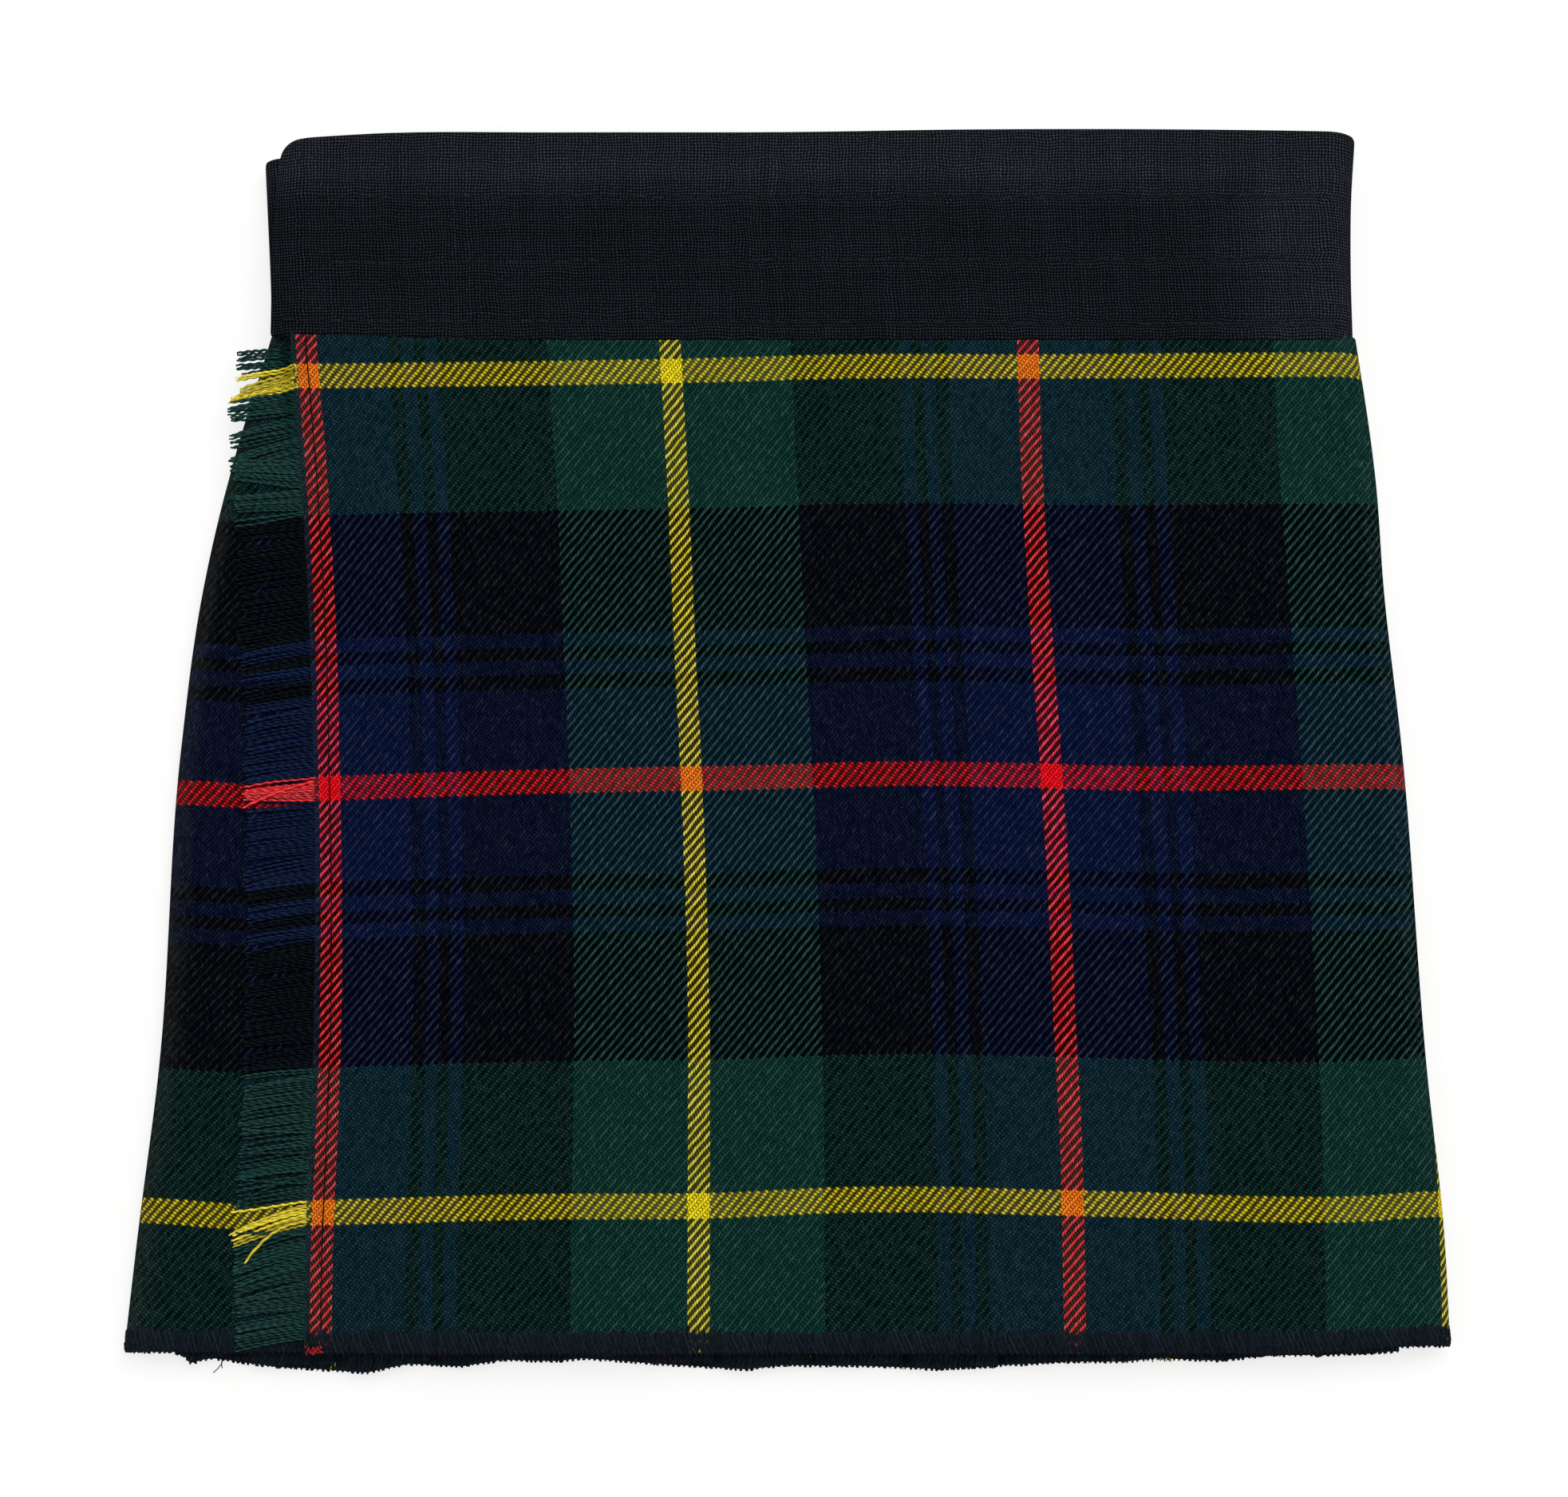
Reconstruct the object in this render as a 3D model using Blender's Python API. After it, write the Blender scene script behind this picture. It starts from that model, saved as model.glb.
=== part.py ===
"""A small child's kilt, laid flat with its wrap closed.

Metres, +Z up. The origin is under the middle of the garment, on the surface that it
lies on: +X is the side of the closed fold, +Y the waist. The cloth path runs from the
fringed edge of the over apron across the front, round the right fold, back through the
knife pleats on the underside, round the left roll, and across as the under apron.
"""
import math
from collections import namedtuple

import bmesh
import bpy

# Cloth and its layers
CLOTH = 0.0010
GAP = 0.0003
LAYER = CLOTH + GAP

# Waistband and its fastening tape
BAND = 0.0016
BAND_OVER_PLEATS = 0.0052
BAND_BOTTOM = 0.0805
BAND_BOTTOM_RISE = 0.0012
BAND_RISE_START = -0.0500
BAND_RISE_LENGTH = 0.0550
BAND_CORNER = 0.0040
BAND_CORNER_SHARES = (0.0, 0.07, 0.3, 1.0)
BAND_EDGE_ROUND = 0.0006
BAND_END_DROOP = 0.0015
BAND_END_DROOP_LENGTH = 0.0065
BAND_SEAM_IN = 0.0090
BAND_WEDGE = 0.0120
TAPE = 0.0008
TAPE_LEFT = -0.0981
TAPE_RIGHT = 0.1034
TAPE_LOW = 0.0962
TAPE_HIGH = 0.1121

# Knife pleats of the back
PLEATS = 13
PLEAT_CLOTH = 0.0434
FIRST_FOLD_IN_HEM = 0.0265
FIRST_FOLD_IN_WAIST = 0.0230
LAST_FOLD_IN = 0.0106
FACE_FLAT = 0.45
FACE_SHARES = (1.0, 0.86, 0.725, 0.59, FACE_FLAT)
INNER_HEM_RISE = 0.0006
FOLD_TURN = LAYER / 2
FOLD_REACH = CLOTH / 2 + FOLD_TURN
FOLD_ANGLES = (-90, -30, 30, 90)

# Side folds of the aprons, measured in from the outer edge
RIGHT_FOLD_TOP = 0.0060
RIGHT_FOLD_LOW = 0.0040
RIGHT_SEAM_IN = 0.0120
LEFT_ROLL_LOW = 0.0040
LEFT_ROLL_SIDE = 0.45
LEFT_SEAM_OVER = 0.0005
LEFT_LEAD_SHARES = (0.0, 0.3, 0.55, 0.8)
UNDER_APRON_END_IN = 0.0105

# Hems and the lift of the over apron towards its thicker waistband
OVER_HEM = -0.1219
OVER_HEM_CORNER_RISE = 0.0014
OVER_HEM_CORNER = (0.100, 0.126)
UNDER_HEM = -0.1217
BAND_LIFT = 0.0023
BAND_LIFT_LENGTH = 0.0280

# Fringe of the over apron
LOCKS = 150
LOCK_LENGTH = 0.0140
FRINGE_STRIP_WIDTH = 0.0009
FRINGE_STRIP_HALF = 0.0004
FRINGE_LOW = -0.1214
FRINGE_HIGH = 0.0797
LOCK_REST = 0.00035
LOCK_SETTLE = 1.5

# How a lock thins towards its cut end
LockSection = namedtuple("LockSection", "share size")
LOCK_SECTIONS = (
    LockSection(0.35, 0.70),
    LockSection(0.70, 0.55),
    LockSection(1.00, 0.45),
)

# Unevenness of the locks' lengths, as waves along the edge: size and radians per metre
Wave = namedtuple("Wave", "size rate")
LOCK_WAVES = (
    Wave(0.0004, 2600.0),
    Wave(0.0003, 940.0),
)

# Points along each stretch of a path, and steps round its side folds
OVER_POINTS = 25
UNDER_POINTS = 17
OVER_BAND_POINTS = 11
HIDDEN_BAND_POINTS = 6
WEDGE_POINTS = 4
UPPER_STEPS = 4
LOWER_STEPS = 3
SHARP_ANGLE = math.radians(35)

# Sections of the garment, one row for each height on the cloth
Station = namedtuple("Station", "y left right edge roll")
STATIONS = (
    Station(-0.1220, -0.1300, 0.1300, -0.0939, 0.0100),
    Station(-0.0988, -0.1280, 0.1295, -0.0941, 0.0095),
    Station(-0.0674, -0.1249, 0.1271, -0.0934, 0.0085),
    Station(-0.0030, -0.1223, 0.1240, -0.0947, 0.0065),
    Station(0.0293, -0.1188, 0.1213, -0.0966, 0.0055),
    Station(0.0540, -0.1138, 0.1201, -0.0986, 0.0048),
    Station(0.0805, -0.1060, 0.1166, -0.1010, 0.0042),
)

# Sections of the waistband: a share of its height, its ends, and its edge rounding
BandRow = namedtuple("BandRow", "share over_left under_left right inset")
BAND_ROWS = (
    BandRow(0.00, -0.1049, -0.1058, 0.1160, 1),
    BandRow(0.02, -0.1049, -0.1058, 0.1160, 0),
    BandRow(0.35, -0.1053, -0.1065, 0.1160, 0),
    BandRow(0.70, -0.1051, -0.1074, 0.1165, 0),
    BandRow(0.98, -0.1041, -0.1082, 0.1176, 0),
    BandRow(1.00, -0.1041, -0.1082, 0.1176, 1),
)

# Top edge of the waistband's outer stretch
Edge = namedtuple("Edge", "x y")
BAND_TOP = (
    Edge(-0.1055, 0.1229),
    Edge(-0.0835, 0.1243),
    Edge(-0.0465, 0.1245),
    Edge(0.0025, 0.1246),
    Edge(0.0350, 0.1251),
    Edge(0.0850, 0.1251),
    Edge(0.1075, 0.1248),
    Edge(0.1170, 0.1246),
)
INNER_TOP_LEFT = Edge(-0.1075, 0.1203)
INNER_TOP_RIGHT = Edge(0.0400, 0.1245)

# Hem of each pleat at its fold and where the pleat before it covers it, from the right
PleatHem = namedtuple("PleatHem", "at_fold at_far")
PLEAT_HEMS = (
    PleatHem(-0.1226, -0.1220),
    PleatHem(-0.1228, -0.1224),
    PleatHem(-0.1230, -0.1235),
    PleatHem(-0.1239, -0.1237),
    PleatHem(-0.1252, -0.1241),
    PleatHem(-0.1245, -0.1251),
    PleatHem(-0.1245, -0.1245),
    PleatHem(-0.1242, -0.1252),
    PleatHem(-0.1229, -0.1240),
    PleatHem(-0.1234, -0.1236),
    PleatHem(-0.1240, -0.1246),
    PleatHem(-0.1248, -0.1258),
    PleatHem(-0.1224, -0.1246),
)

# Soft folds, as low ridges that run from the waist to the hem and fade over shares of their length
RIDGE_FADE_HIGH = 0.4
RIDGE_FADE_LOW = 0.2
Ridge = namedtuple("Ridge", "x_waist x_hem width height y_low y_high")
OVER_RIDGES = (
    Ridge(-0.0700, -0.0640, 0.0300, 0.0007, -0.150, 0.010),
    Ridge(-0.0240, -0.0330, 0.0260, 0.0011, -0.150, 0.045),
    Ridge(0.0180, 0.0150, 0.0340, 0.0006, -0.080, 0.070),
    Ridge(0.0500, 0.0620, 0.0300, 0.0010, -0.150, 0.020),
    Ridge(0.0860, 0.0980, 0.0240, 0.0007, -0.150, 0.060),
)
UNDER_RIDGES = (
    Ridge(-0.0860, -0.1060, 0.0240, 0.0004, -0.150, 0.040),
    Ridge(-0.0300, -0.0420, 0.0360, 0.0005, -0.150, 0.020),
    Ridge(0.0340, 0.0400, 0.0400, 0.0006, -0.150, 0.050),
)

# How far the fringe's tips hang towards the hem, and how much longer its locks are
Droop = namedtuple("Droop", "y down extra")
FRINGE_DROOP = (
    Droop(-0.1220, 0.0020, -0.0006),
    Droop(-0.1000, 0.0045, 0.0004),
    Droop(-0.0920, 0.0068, 0.0010),
    Droop(-0.0850, 0.0040, 0.0004),
    Droop(-0.0600, 0.0016, -0.0002),
    Droop(-0.0060, 0.0016, 0.0006),
    Droop(0.0200, 0.0010, 0.0000),
    Droop(0.0550, 0.0012, 0.0004),
    Droop(0.0740, 0.0028, 0.0010),
    Droop(0.0800, 0.0016, -0.0004),
)

# Base colour and roughness of each material
COLOURS = {
    "tartan_cloth": ((0.012, 0.030, 0.032, 1.0), 0.85),
    "waistband_cloth": ((0.012, 0.014, 0.020, 1.0), 0.90),
    "fringe_yarn": ((0.012, 0.035, 0.032, 1.0), 0.85),
    "fastening_tape": ((0.010, 0.010, 0.014, 1.0), 0.95),
}


def smoothstep(t):
    """Ease from 0 to 1."""
    t = min(max(t, 0.0), 1.0)
    return t * t * (3.0 - 2.0 * t)


def blend(a, b, t):
    """Value a share t of the way from a to b."""
    return a + (b - a) * t


def read_table(rows, key, value, at):
    """Straight-line reading of one named column against another."""
    if at <= getattr(rows[0], key):
        return getattr(rows[0], value)
    for low, high in zip(rows, rows[1:]):
        start = getattr(low, key)
        end = getattr(high, key)
        if at <= end:
            return blend(getattr(low, value), getattr(high, value), (at - start) / (end - start))
    return getattr(rows[-1], value)


def band_bottom(x):
    """Lower edge of the waistband, which rises a little towards its free end."""
    return BAND_BOTTOM + BAND_BOTTOM_RISE * smoothstep((BAND_RISE_START - x) / BAND_RISE_LENGTH)


def band_top(x):
    """Upper edge of the waistband's outer stretch."""
    return read_table(BAND_TOP, "x", "y", x)


def inner_top(x):
    """Upper edge of the waistband's hidden stretches, which slopes down to the left."""
    share = (x - INNER_TOP_LEFT.x) / (INNER_TOP_RIGHT.x - INNER_TOP_LEFT.x)
    sloped = blend(INNER_TOP_LEFT.y, INNER_TOP_RIGHT.y, min(max(share, 0.0), 1.0))
    return min(sloped, band_top(x) - GAP)


def over_hem(x):
    """Hem line of the over apron, which rises at its right corner."""
    start, end = OVER_HEM_CORNER
    return OVER_HEM + OVER_HEM_CORNER_RISE * smoothstep((x - start) / (end - start))


def panel_y(station, x, hem):
    """Height on the cloth of a ring's point: the first ring is the hem, the last the waist."""
    if station is STATIONS[0]:
        return hem
    if station is STATIONS[-1]:
        return band_bottom(x) - GAP
    return station.y


def waist_share(station):
    """Share of the way from the hem to the waist."""
    return (station.y - STATIONS[0].y) / (STATIONS[-1].y - STATIONS[0].y)


def first_fold(station):
    """Outer fold of the first pleat, beside the right fold."""
    return station.right - blend(FIRST_FOLD_IN_HEM, FIRST_FOLD_IN_WAIST, waist_share(station))


def last_fold(station):
    """Outer fold of the last pleat, beside the left roll."""
    return station.left + LAST_FOLD_IN


def reveal(station):
    """Width of a pleat's face that shows."""
    return (first_fold(station) - last_fold(station)) / (PLEATS - 1)


def depth(station):
    """How far a pleat turns back under its own face."""
    return (PLEAT_CLOTH - reveal(station)) / 2


def face_rise(pleat, share):
    """How far a pleat's face has lifted off the surface, a share of its reveal from its fold."""
    if pleat == 0:
        return 0.0
    return 2 * LAYER * smoothstep((share - FACE_FLAT) / (1.0 - FACE_FLAT))


def pleats_top(station):
    """Highest point of the stacked pleats."""
    return 2 * LAYER + face_rise(1, depth(station) / reveal(station)) + CLOTH


def ridge_height(ridges, station, x):
    """Summed height of the soft folds at a point."""
    total = 0.0
    for ridge in ridges:
        middle = blend(ridge.x_hem, ridge.x_waist, waist_share(station))
        across = 1.0 - smoothstep(abs(x - middle) / ridge.width)
        length = ridge.y_high - ridge.y_low
        along = smoothstep((ridge.y_high - station.y) / (RIDGE_FADE_HIGH * length))
        along *= smoothstep((station.y - ridge.y_low) / (RIDGE_FADE_LOW * length))
        total += ridge.height * across * along
    return total


def under_mid(station, x):
    """Middle of the under apron's wall, which lies on the pleats."""
    return pleats_top(station) + GAP + CLOTH / 2 + ridge_height(UNDER_RIDGES, station, x)


def over_mid(station, x):
    """Middle of the over apron's wall: the under apron's, moved out by a layer and its own folds."""
    lift = BAND_LIFT * smoothstep((station.y - BAND_BOTTOM) / BAND_LIFT_LENGTH + 1.0)
    return under_mid(station, x) + LAYER + lift + ridge_height(OVER_RIDGES, station, x)


def spread(start, end, count):
    """Evenly spaced values, both ends included."""
    return [blend(start, end, i / (count - 1)) for i in range(count)]


def quarter(edge_x, inward, side_z, end_z, steps):
    """Points of a quarter ellipse from a side's outermost point in to its flat stretch."""
    points = []
    for i in range(1, steps + 1):
        angle = math.pi / 2 * i / steps
        x = edge_x + inward * (1.0 - math.cos(angle))
        z = side_z + (end_z - side_z) * math.sin(angle)
        points.append((x, z))
    return points


def offset_line(points, distance):
    """A polyline in X and Z moved sideways by a distance at each point, mitred at its corners."""
    moved = []
    last = len(points) - 1
    for i, (x, z) in enumerate(points):
        before = points[max(i - 1, 0)]
        after = points[min(i + 1, last)]
        normals = []
        for start, end in ((before, (x, z)), ((x, z), after)):
            run = math.hypot(end[0] - start[0], end[1] - start[1])
            if run > 0:
                normals.append(((start[1] - end[1]) / run, (end[0] - start[0]) / run))
        mean_x = sum(n[0] for n in normals) / len(normals)
        mean_z = sum(n[1] for n in normals) / len(normals)
        square = mean_x * mean_x + mean_z * mean_z
        moved.append((x + distance * mean_x / square, z + distance * mean_z / square))
    return moved


def wall_ring(path, thickness):
    """Closed ring round a wall whose middle follows a path of (x, y, z) points."""
    line = [(x, z) for x, y, z in path]
    upper = offset_line(line, thickness / 2)
    lower = offset_line(line, -thickness / 2)
    ring = [(x, path[i][1], z) for i, (x, z) in enumerate(upper)]
    ring += [(x, path[i][1], z) for i, (x, z) in reversed(list(enumerate(lower)))]
    return ring


def new_object(name, mesh_maker, material_name):
    """One named object of the garment, with its own material."""
    mesh = bpy.data.meshes.new(name)
    shape = bmesh.new()
    mesh_maker(shape)
    bmesh.ops.recalc_face_normals(shape, faces=shape.faces[:])
    shape.to_mesh(mesh)
    shape.free()
    mesh.shade_smooth()
    mesh.set_sharp_from_angle(angle=SHARP_ANGLE)
    obj = bpy.data.objects.new(name, mesh)
    finish_object(obj, material_name)
    return obj


def finish_object(obj, material_name):
    """Give an object its material and put it in the garment's collection."""
    colour, roughness = COLOURS[material_name]
    material = bpy.data.materials.new(obj.name)
    material.use_nodes = True
    shader = material.node_tree.nodes["Principled BSDF"]
    shader.inputs["Base Color"].default_value = colour
    shader.inputs["Roughness"].default_value = roughness
    shader.inputs["Metallic"].default_value = 0.0
    material.diffuse_color = colour
    obj.data.materials.append(material)
    for collection in obj.users_collection:
        collection.objects.unlink(obj)
    garment.objects.link(obj)


def loft(shape, rings):
    """Closed body through rings of equal length, capped along each end ring's wall."""
    loops = [[shape.verts.new(point) for point in ring] for ring in rings]
    count = len(rings[0])
    for low, high in zip(loops, loops[1:]):
        for i in range(count):
            j = (i + 1) % count
            shape.faces.new((low[i], low[j], high[j], high[i]))
    for loop in (loops[0], loops[-1]):
        for i in range(count // 2 - 1):
            shape.faces.new((loop[i], loop[i + 1], loop[count - 2 - i], loop[count - 1 - i]))


def wall_object(name, paths, thickness, material_name):
    """A wall lofted through the rings round its paths."""
    rings = [wall_ring(path, thickness) for path in paths]
    return new_object(name, lambda shape: loft(shape, rings), material_name)


def over_apron_path(station):
    """The over apron from its fringed edge, round the right fold, to its seam underneath."""
    side_x = station.right - CLOTH / 2
    flat_end = side_x - RIGHT_FOLD_TOP
    top = [(x, over_mid(station, x)) for x in spread(station.edge, flat_end, OVER_POINTS)]
    floor_z = CLOTH / 2
    side_z = (top[-1][1] + floor_z) / 2
    over = quarter(-side_x, RIGHT_FOLD_TOP, side_z, top[-1][1], UPPER_STEPS)
    under = quarter(-side_x, RIGHT_FOLD_LOW, side_z, floor_z, LOWER_STEPS)
    fold = [(-x, z) for x, z in reversed(over[:-1])] + [(side_x, side_z)] + [(-x, z) for x, z in under]
    seam = [(station.right - RIGHT_SEAM_IN, floor_z)]
    line = top + fold + seam
    return [(x, panel_y(station, x, over_hem(x)), z) for x, z in line]


def under_apron_path(station):
    """The under apron from its seam underneath, round the left roll, to its hidden free edge."""
    side_x = station.left + CLOTH / 2
    floor_z = CLOTH / 2
    lead_start = last_fold(station) - LEFT_SEAM_OVER - GAP
    lead_end = side_x + LEFT_ROLL_LOW
    lead = []
    for share in LEFT_LEAD_SHARES:
        z = floor_z + 2 * LAYER * (1.0 - smoothstep(share))
        lead.append((blend(lead_start, lead_end, share), z))
    flat_start = side_x + station.roll
    flat_z = under_mid(station, flat_start)
    side_z = blend(floor_z, flat_z, LEFT_ROLL_SIDE)
    low = quarter(side_x, LEFT_ROLL_LOW, side_z, floor_z, LOWER_STEPS)
    high = quarter(side_x, station.roll, side_z, flat_z, UPPER_STEPS)
    roll = list(reversed(low)) + [(side_x, side_z)] + high
    flat_end = station.right - UNDER_APRON_END_IN
    top = [(x, under_mid(station, x)) for x in spread(flat_start, flat_end, UNDER_POINTS)[1:]]
    line = lead + roll + top
    return [(x, panel_y(station, x, UNDER_HEM), z) for x, z in line]


def half_turn(centre_x, centre_z, side):
    """Points round a pleat's fold, which faces left for a side of -1 and right for 1."""
    points = []
    for angle in FOLD_ANGLES:
        x = centre_x + side * FOLD_TURN * math.cos(math.radians(angle))
        z = centre_z + FOLD_TURN * math.sin(math.radians(angle))
        points.append((x, z))
    return points


def pleated_back_path(station):
    """The back through all its knife pleats, from the right seam to the left one."""
    width = reveal(station)
    turn_in = depth(station) - FOLD_REACH
    floor_z = CLOTH / 2
    path = []

    def add(points, hem_at):
        for x, z in points:
            path.append((x, panel_y(station, x, hem_at(x)), z))

    start = station.right - RIGHT_SEAM_IN - GAP
    first = PLEAT_HEMS[0]
    add([(start, floor_z)], lambda x: first.at_far)
    for pleat in range(PLEATS):
        fold = first_fold(station) - pleat * width
        hem = PLEAT_HEMS[pleat]
        bend = FACE_FLAT * width
        inner_hem = hem.at_fold + INNER_HEM_RISE
        add(half_turn(fold + FOLD_REACH, floor_z + LAYER / 2, -1), lambda x: hem.at_fold)

        back_run = []
        for inward in (bend, (bend + turn_in) / 2):
            back_run.append((fold + inward, floor_z + LAYER + face_rise(pleat, inward / width)))
        add(back_run, lambda x: blend(hem.at_fold, inner_hem, (x - fold) / turn_in))

        inner_z = floor_z + 1.5 * LAYER + face_rise(pleat, turn_in / width)
        add(half_turn(fold + turn_in, inner_z, 1), lambda x: inner_hem)

        next_hem = PLEAT_HEMS[min(pleat + 1, PLEATS - 1)]
        inner_run = []
        for inward in ((bend + turn_in) / 2, bend):
            inner_run.append((fold + inward, floor_z + 2 * LAYER + face_rise(pleat, inward / width)))
        add(inner_run, lambda x: blend(next_hem.at_far, inner_hem, (x - fold) / turn_in))

        if pleat < PLEATS - 1:
            next_fold = fold - width
            face = []
            for share in FACE_SHARES:
                face.append((next_fold + share * width, floor_z + face_rise(pleat + 1, share)))
            add(face, lambda x: blend(next_hem.at_fold, next_hem.at_far, (x - next_fold) / width))
    end = last_fold(station) - LEFT_SEAM_OVER
    add([(end, floor_z + 2 * LAYER)], lambda x: PLEAT_HEMS[-1].at_fold)
    return path


def band_rows(top_at, path_at):
    """Paths of a stretch of waistband, with its long edges rounded in."""
    paths = []
    for row in BAND_ROWS:
        path = []
        for x, z in path_at(row):
            path.append((x, blend(band_bottom(x), top_at(row, x), row.share), z))
        paths.append(path)
    return paths


def band_wall(name, paths):
    """A stretch of waistband as a wall, thinner at its two long edges."""
    rings = []
    for row, path in zip(BAND_ROWS, paths):
        rings.append(wall_ring(path, BAND - 2 * BAND_EDGE_ROUND * row.inset))
    return new_object(name, lambda shape: loft(shape, rings), "waistband_cloth")


def over_band_mid():
    """Middle of the waistband's outer stretch, above the two bands and both tapes."""
    return BAND_OVER_PLEATS + 1.5 * BAND + 2 * TAPE + 4 * GAP


def waistband_over():
    """The outer stretch, from its free rounded end, round the right fold, to its seam."""
    mid = over_band_mid()

    def path_at(row):
        line = []
        near_end = [row.over_left + BAND_CORNER * share for share in BAND_CORNER_SHARES]
        side_x = row.right - BAND / 2
        flat_end = side_x - RIGHT_FOLD_TOP
        for x in near_end + spread(row.over_left + 2 * BAND_CORNER, flat_end, OVER_BAND_POINTS):
            droop = 1.0 - smoothstep((x - row.over_left) / BAND_END_DROOP_LENGTH)
            line.append((x, mid - BAND_END_DROOP * droop))
        side_z = (mid + BAND / 2) / 2
        over = quarter(-side_x, RIGHT_FOLD_TOP, side_z, mid, UPPER_STEPS)
        under = quarter(-side_x, RIGHT_FOLD_LOW, side_z, BAND / 2, LOWER_STEPS)
        line += [(-x, z) for x, z in reversed(over[:-1])]
        line.append((side_x, side_z))
        line += [(-x, z) for x, z in under]
        line.append((row.right - BAND_SEAM_IN, BAND / 2))
        return line

    def top_at(row, x):
        inward = min(max(x - row.over_left, 0.0), BAND_CORNER)
        rise = math.sqrt(BAND_CORNER ** 2 - (BAND_CORNER - inward) ** 2)
        return band_top(x) - BAND_CORNER + rise

    band_wall("waistband_over", band_rows(top_at, path_at))


def waistband_under():
    """The hidden stretch, from its seam, round the left fold, to its free end at the right."""
    mid = BAND_OVER_PLEATS + GAP + BAND / 2

    def path_at(row):
        side_x = row.under_left + BAND / 2
        side_z = (mid + BAND / 2) / 2
        low = quarter(side_x, LEFT_ROLL_LOW, side_z, BAND / 2, LOWER_STEPS)
        high = quarter(side_x, LEFT_ROLL_LOW, side_z, mid, LOWER_STEPS)
        line = [(row.under_left + BAND_SEAM_IN, BAND / 2)]
        line += list(reversed(low))
        line.append((side_x, side_z))
        line += high
        flat_end = row.right - UNDER_APRON_END_IN
        line += [(x, mid) for x in spread(high[-1][0], flat_end, HIDDEN_BAND_POINTS)[1:]]
        return line

    band_wall("waistband_under", band_rows(lambda row, x: inner_top(x), path_at))


def waistband_back():
    """The stretch over the pleats' tops: a flat underside and two ends that taper to one band."""
    rings = []
    for row in BAND_ROWS:
        left = row.under_left + BAND_SEAM_IN + GAP
        right = row.right - BAND_SEAM_IN - GAP
        xs = spread(left, left + BAND_WEDGE, WEDGE_POINTS)[:-1]
        xs += spread(left + BAND_WEDGE, right - BAND_WEDGE, HIDDEN_BAND_POINTS)
        xs += spread(right - BAND_WEDGE, right, WEDGE_POINTS)[1:]
        inset = BAND_EDGE_ROUND * row.inset
        upper = []
        lower = []
        for x in xs:
            full = smoothstep(min(x - left, right - x) / BAND_WEDGE)
            y = blend(band_bottom(x), inner_top(x), row.share)
            upper.append((x, y, blend(BAND, BAND_OVER_PLEATS, full) - inset))
            lower.append((x, y, inset))
        rings.append(upper + list(reversed(lower)))
    new_object("waistband_back", lambda shape: loft(shape, rings), "waistband_cloth")


def fastening_tape(name, base):
    """One half of the hook-and-loop fastening, a flat strip between the two bands."""
    centre = ((TAPE_LEFT + TAPE_RIGHT) / 2, (TAPE_LOW + TAPE_HIGH) / 2, base + TAPE / 2)
    bpy.ops.mesh.primitive_cube_add(size=1.0, location=centre)
    strip = bpy.context.object
    strip.name = name
    strip.data.name = name
    strip.scale = (TAPE_RIGHT - TAPE_LEFT, TAPE_HIGH - TAPE_LOW, TAPE)
    bpy.ops.object.transform_apply(location=False, rotation=False, scale=True)
    finish_object(strip, "fastening_tape")


def station_at(y):
    """A section of the garment at any height between the table's rows."""
    columns = [read_table(STATIONS, "y", name, y) for name in Station._fields[1:]]
    return Station(y, *columns)


def lock_line(y):
    """Function of a share along a fringe lock, which gives its middle: out, down and to rest."""
    station = station_at(y)
    start_x = station.edge - GAP - FRINGE_STRIP_WIDTH
    start_z = over_mid(station, station.edge)
    down = read_table(FRINGE_DROOP, "y", "down", y)
    length = LOCK_LENGTH + read_table(FRINGE_DROOP, "y", "extra", y)
    length += sum(wave.size * math.sin(y * wave.rate) for wave in LOCK_WAVES)

    def middle(share):
        x = start_x - length * share
        rest_x = max(x, station.left + CLOTH / 2 + station.roll)
        rest_z = under_mid(station, rest_x) + CLOTH / 2 + GAP + LOCK_REST
        settle = smoothstep(share * LOCK_SETTLE)
        return (x, y - down * smoothstep(share), blend(start_z, rest_z, settle))

    return middle


def fringe_mesh(shape):
    """A narrow strip beside the apron's edge, with a three-sided lock from each of its steps."""
    pitch = (FRINGE_HIGH - FRINGE_LOW) / LOCKS
    corners = []
    for i in range(LOCKS + 1):
        y = FRINGE_LOW + pitch * i
        station = station_at(y)
        right = station.edge - GAP
        left = right - FRINGE_STRIP_WIDTH
        z = over_mid(station, station.edge)
        square = ((left, FRINGE_STRIP_HALF), (left, -FRINGE_STRIP_HALF),
                  (right, -FRINGE_STRIP_HALF), (right, FRINGE_STRIP_HALF))
        corners.append([shape.verts.new((x, y, z + rise)) for x, rise in square])
    for end in (corners[0], corners[-1]):
        shape.faces.new(end)
    for i in range(LOCKS):
        top, bottom, back_low, back_high = corners[i]
        next_top, next_bottom, next_back_low, next_back_high = corners[i + 1]
        shape.faces.new((top, next_top, next_back_high, back_high))
        shape.faces.new((back_high, next_back_high, next_back_low, back_low))
        shape.faces.new((back_low, next_back_low, next_bottom, bottom))
        shape.faces.new((bottom, next_bottom, next_top))
        add_lock(shape, (top, bottom, next_top))


def add_lock(shape, root):
    """One lock from its root triangle, thinner at each of its sections, with a cut end."""
    centre = sum((corner.co for corner in root), root[0].co * 0.0) / 3
    middle = lock_line(centre.y)
    previous = root
    for section in LOCK_SECTIONS:
        x, y, z = middle(section.share)
        ring = []
        for corner in root:
            away = (corner.co - centre) * section.size
            ring.append(shape.verts.new((x + away.x, y + away.y, z + away.z)))
        for i in range(3):
            j = (i + 1) % 3
            shape.faces.new((previous[i], previous[j], ring[j], ring[i]))
        previous = ring
    shape.faces.new(previous)


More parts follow.
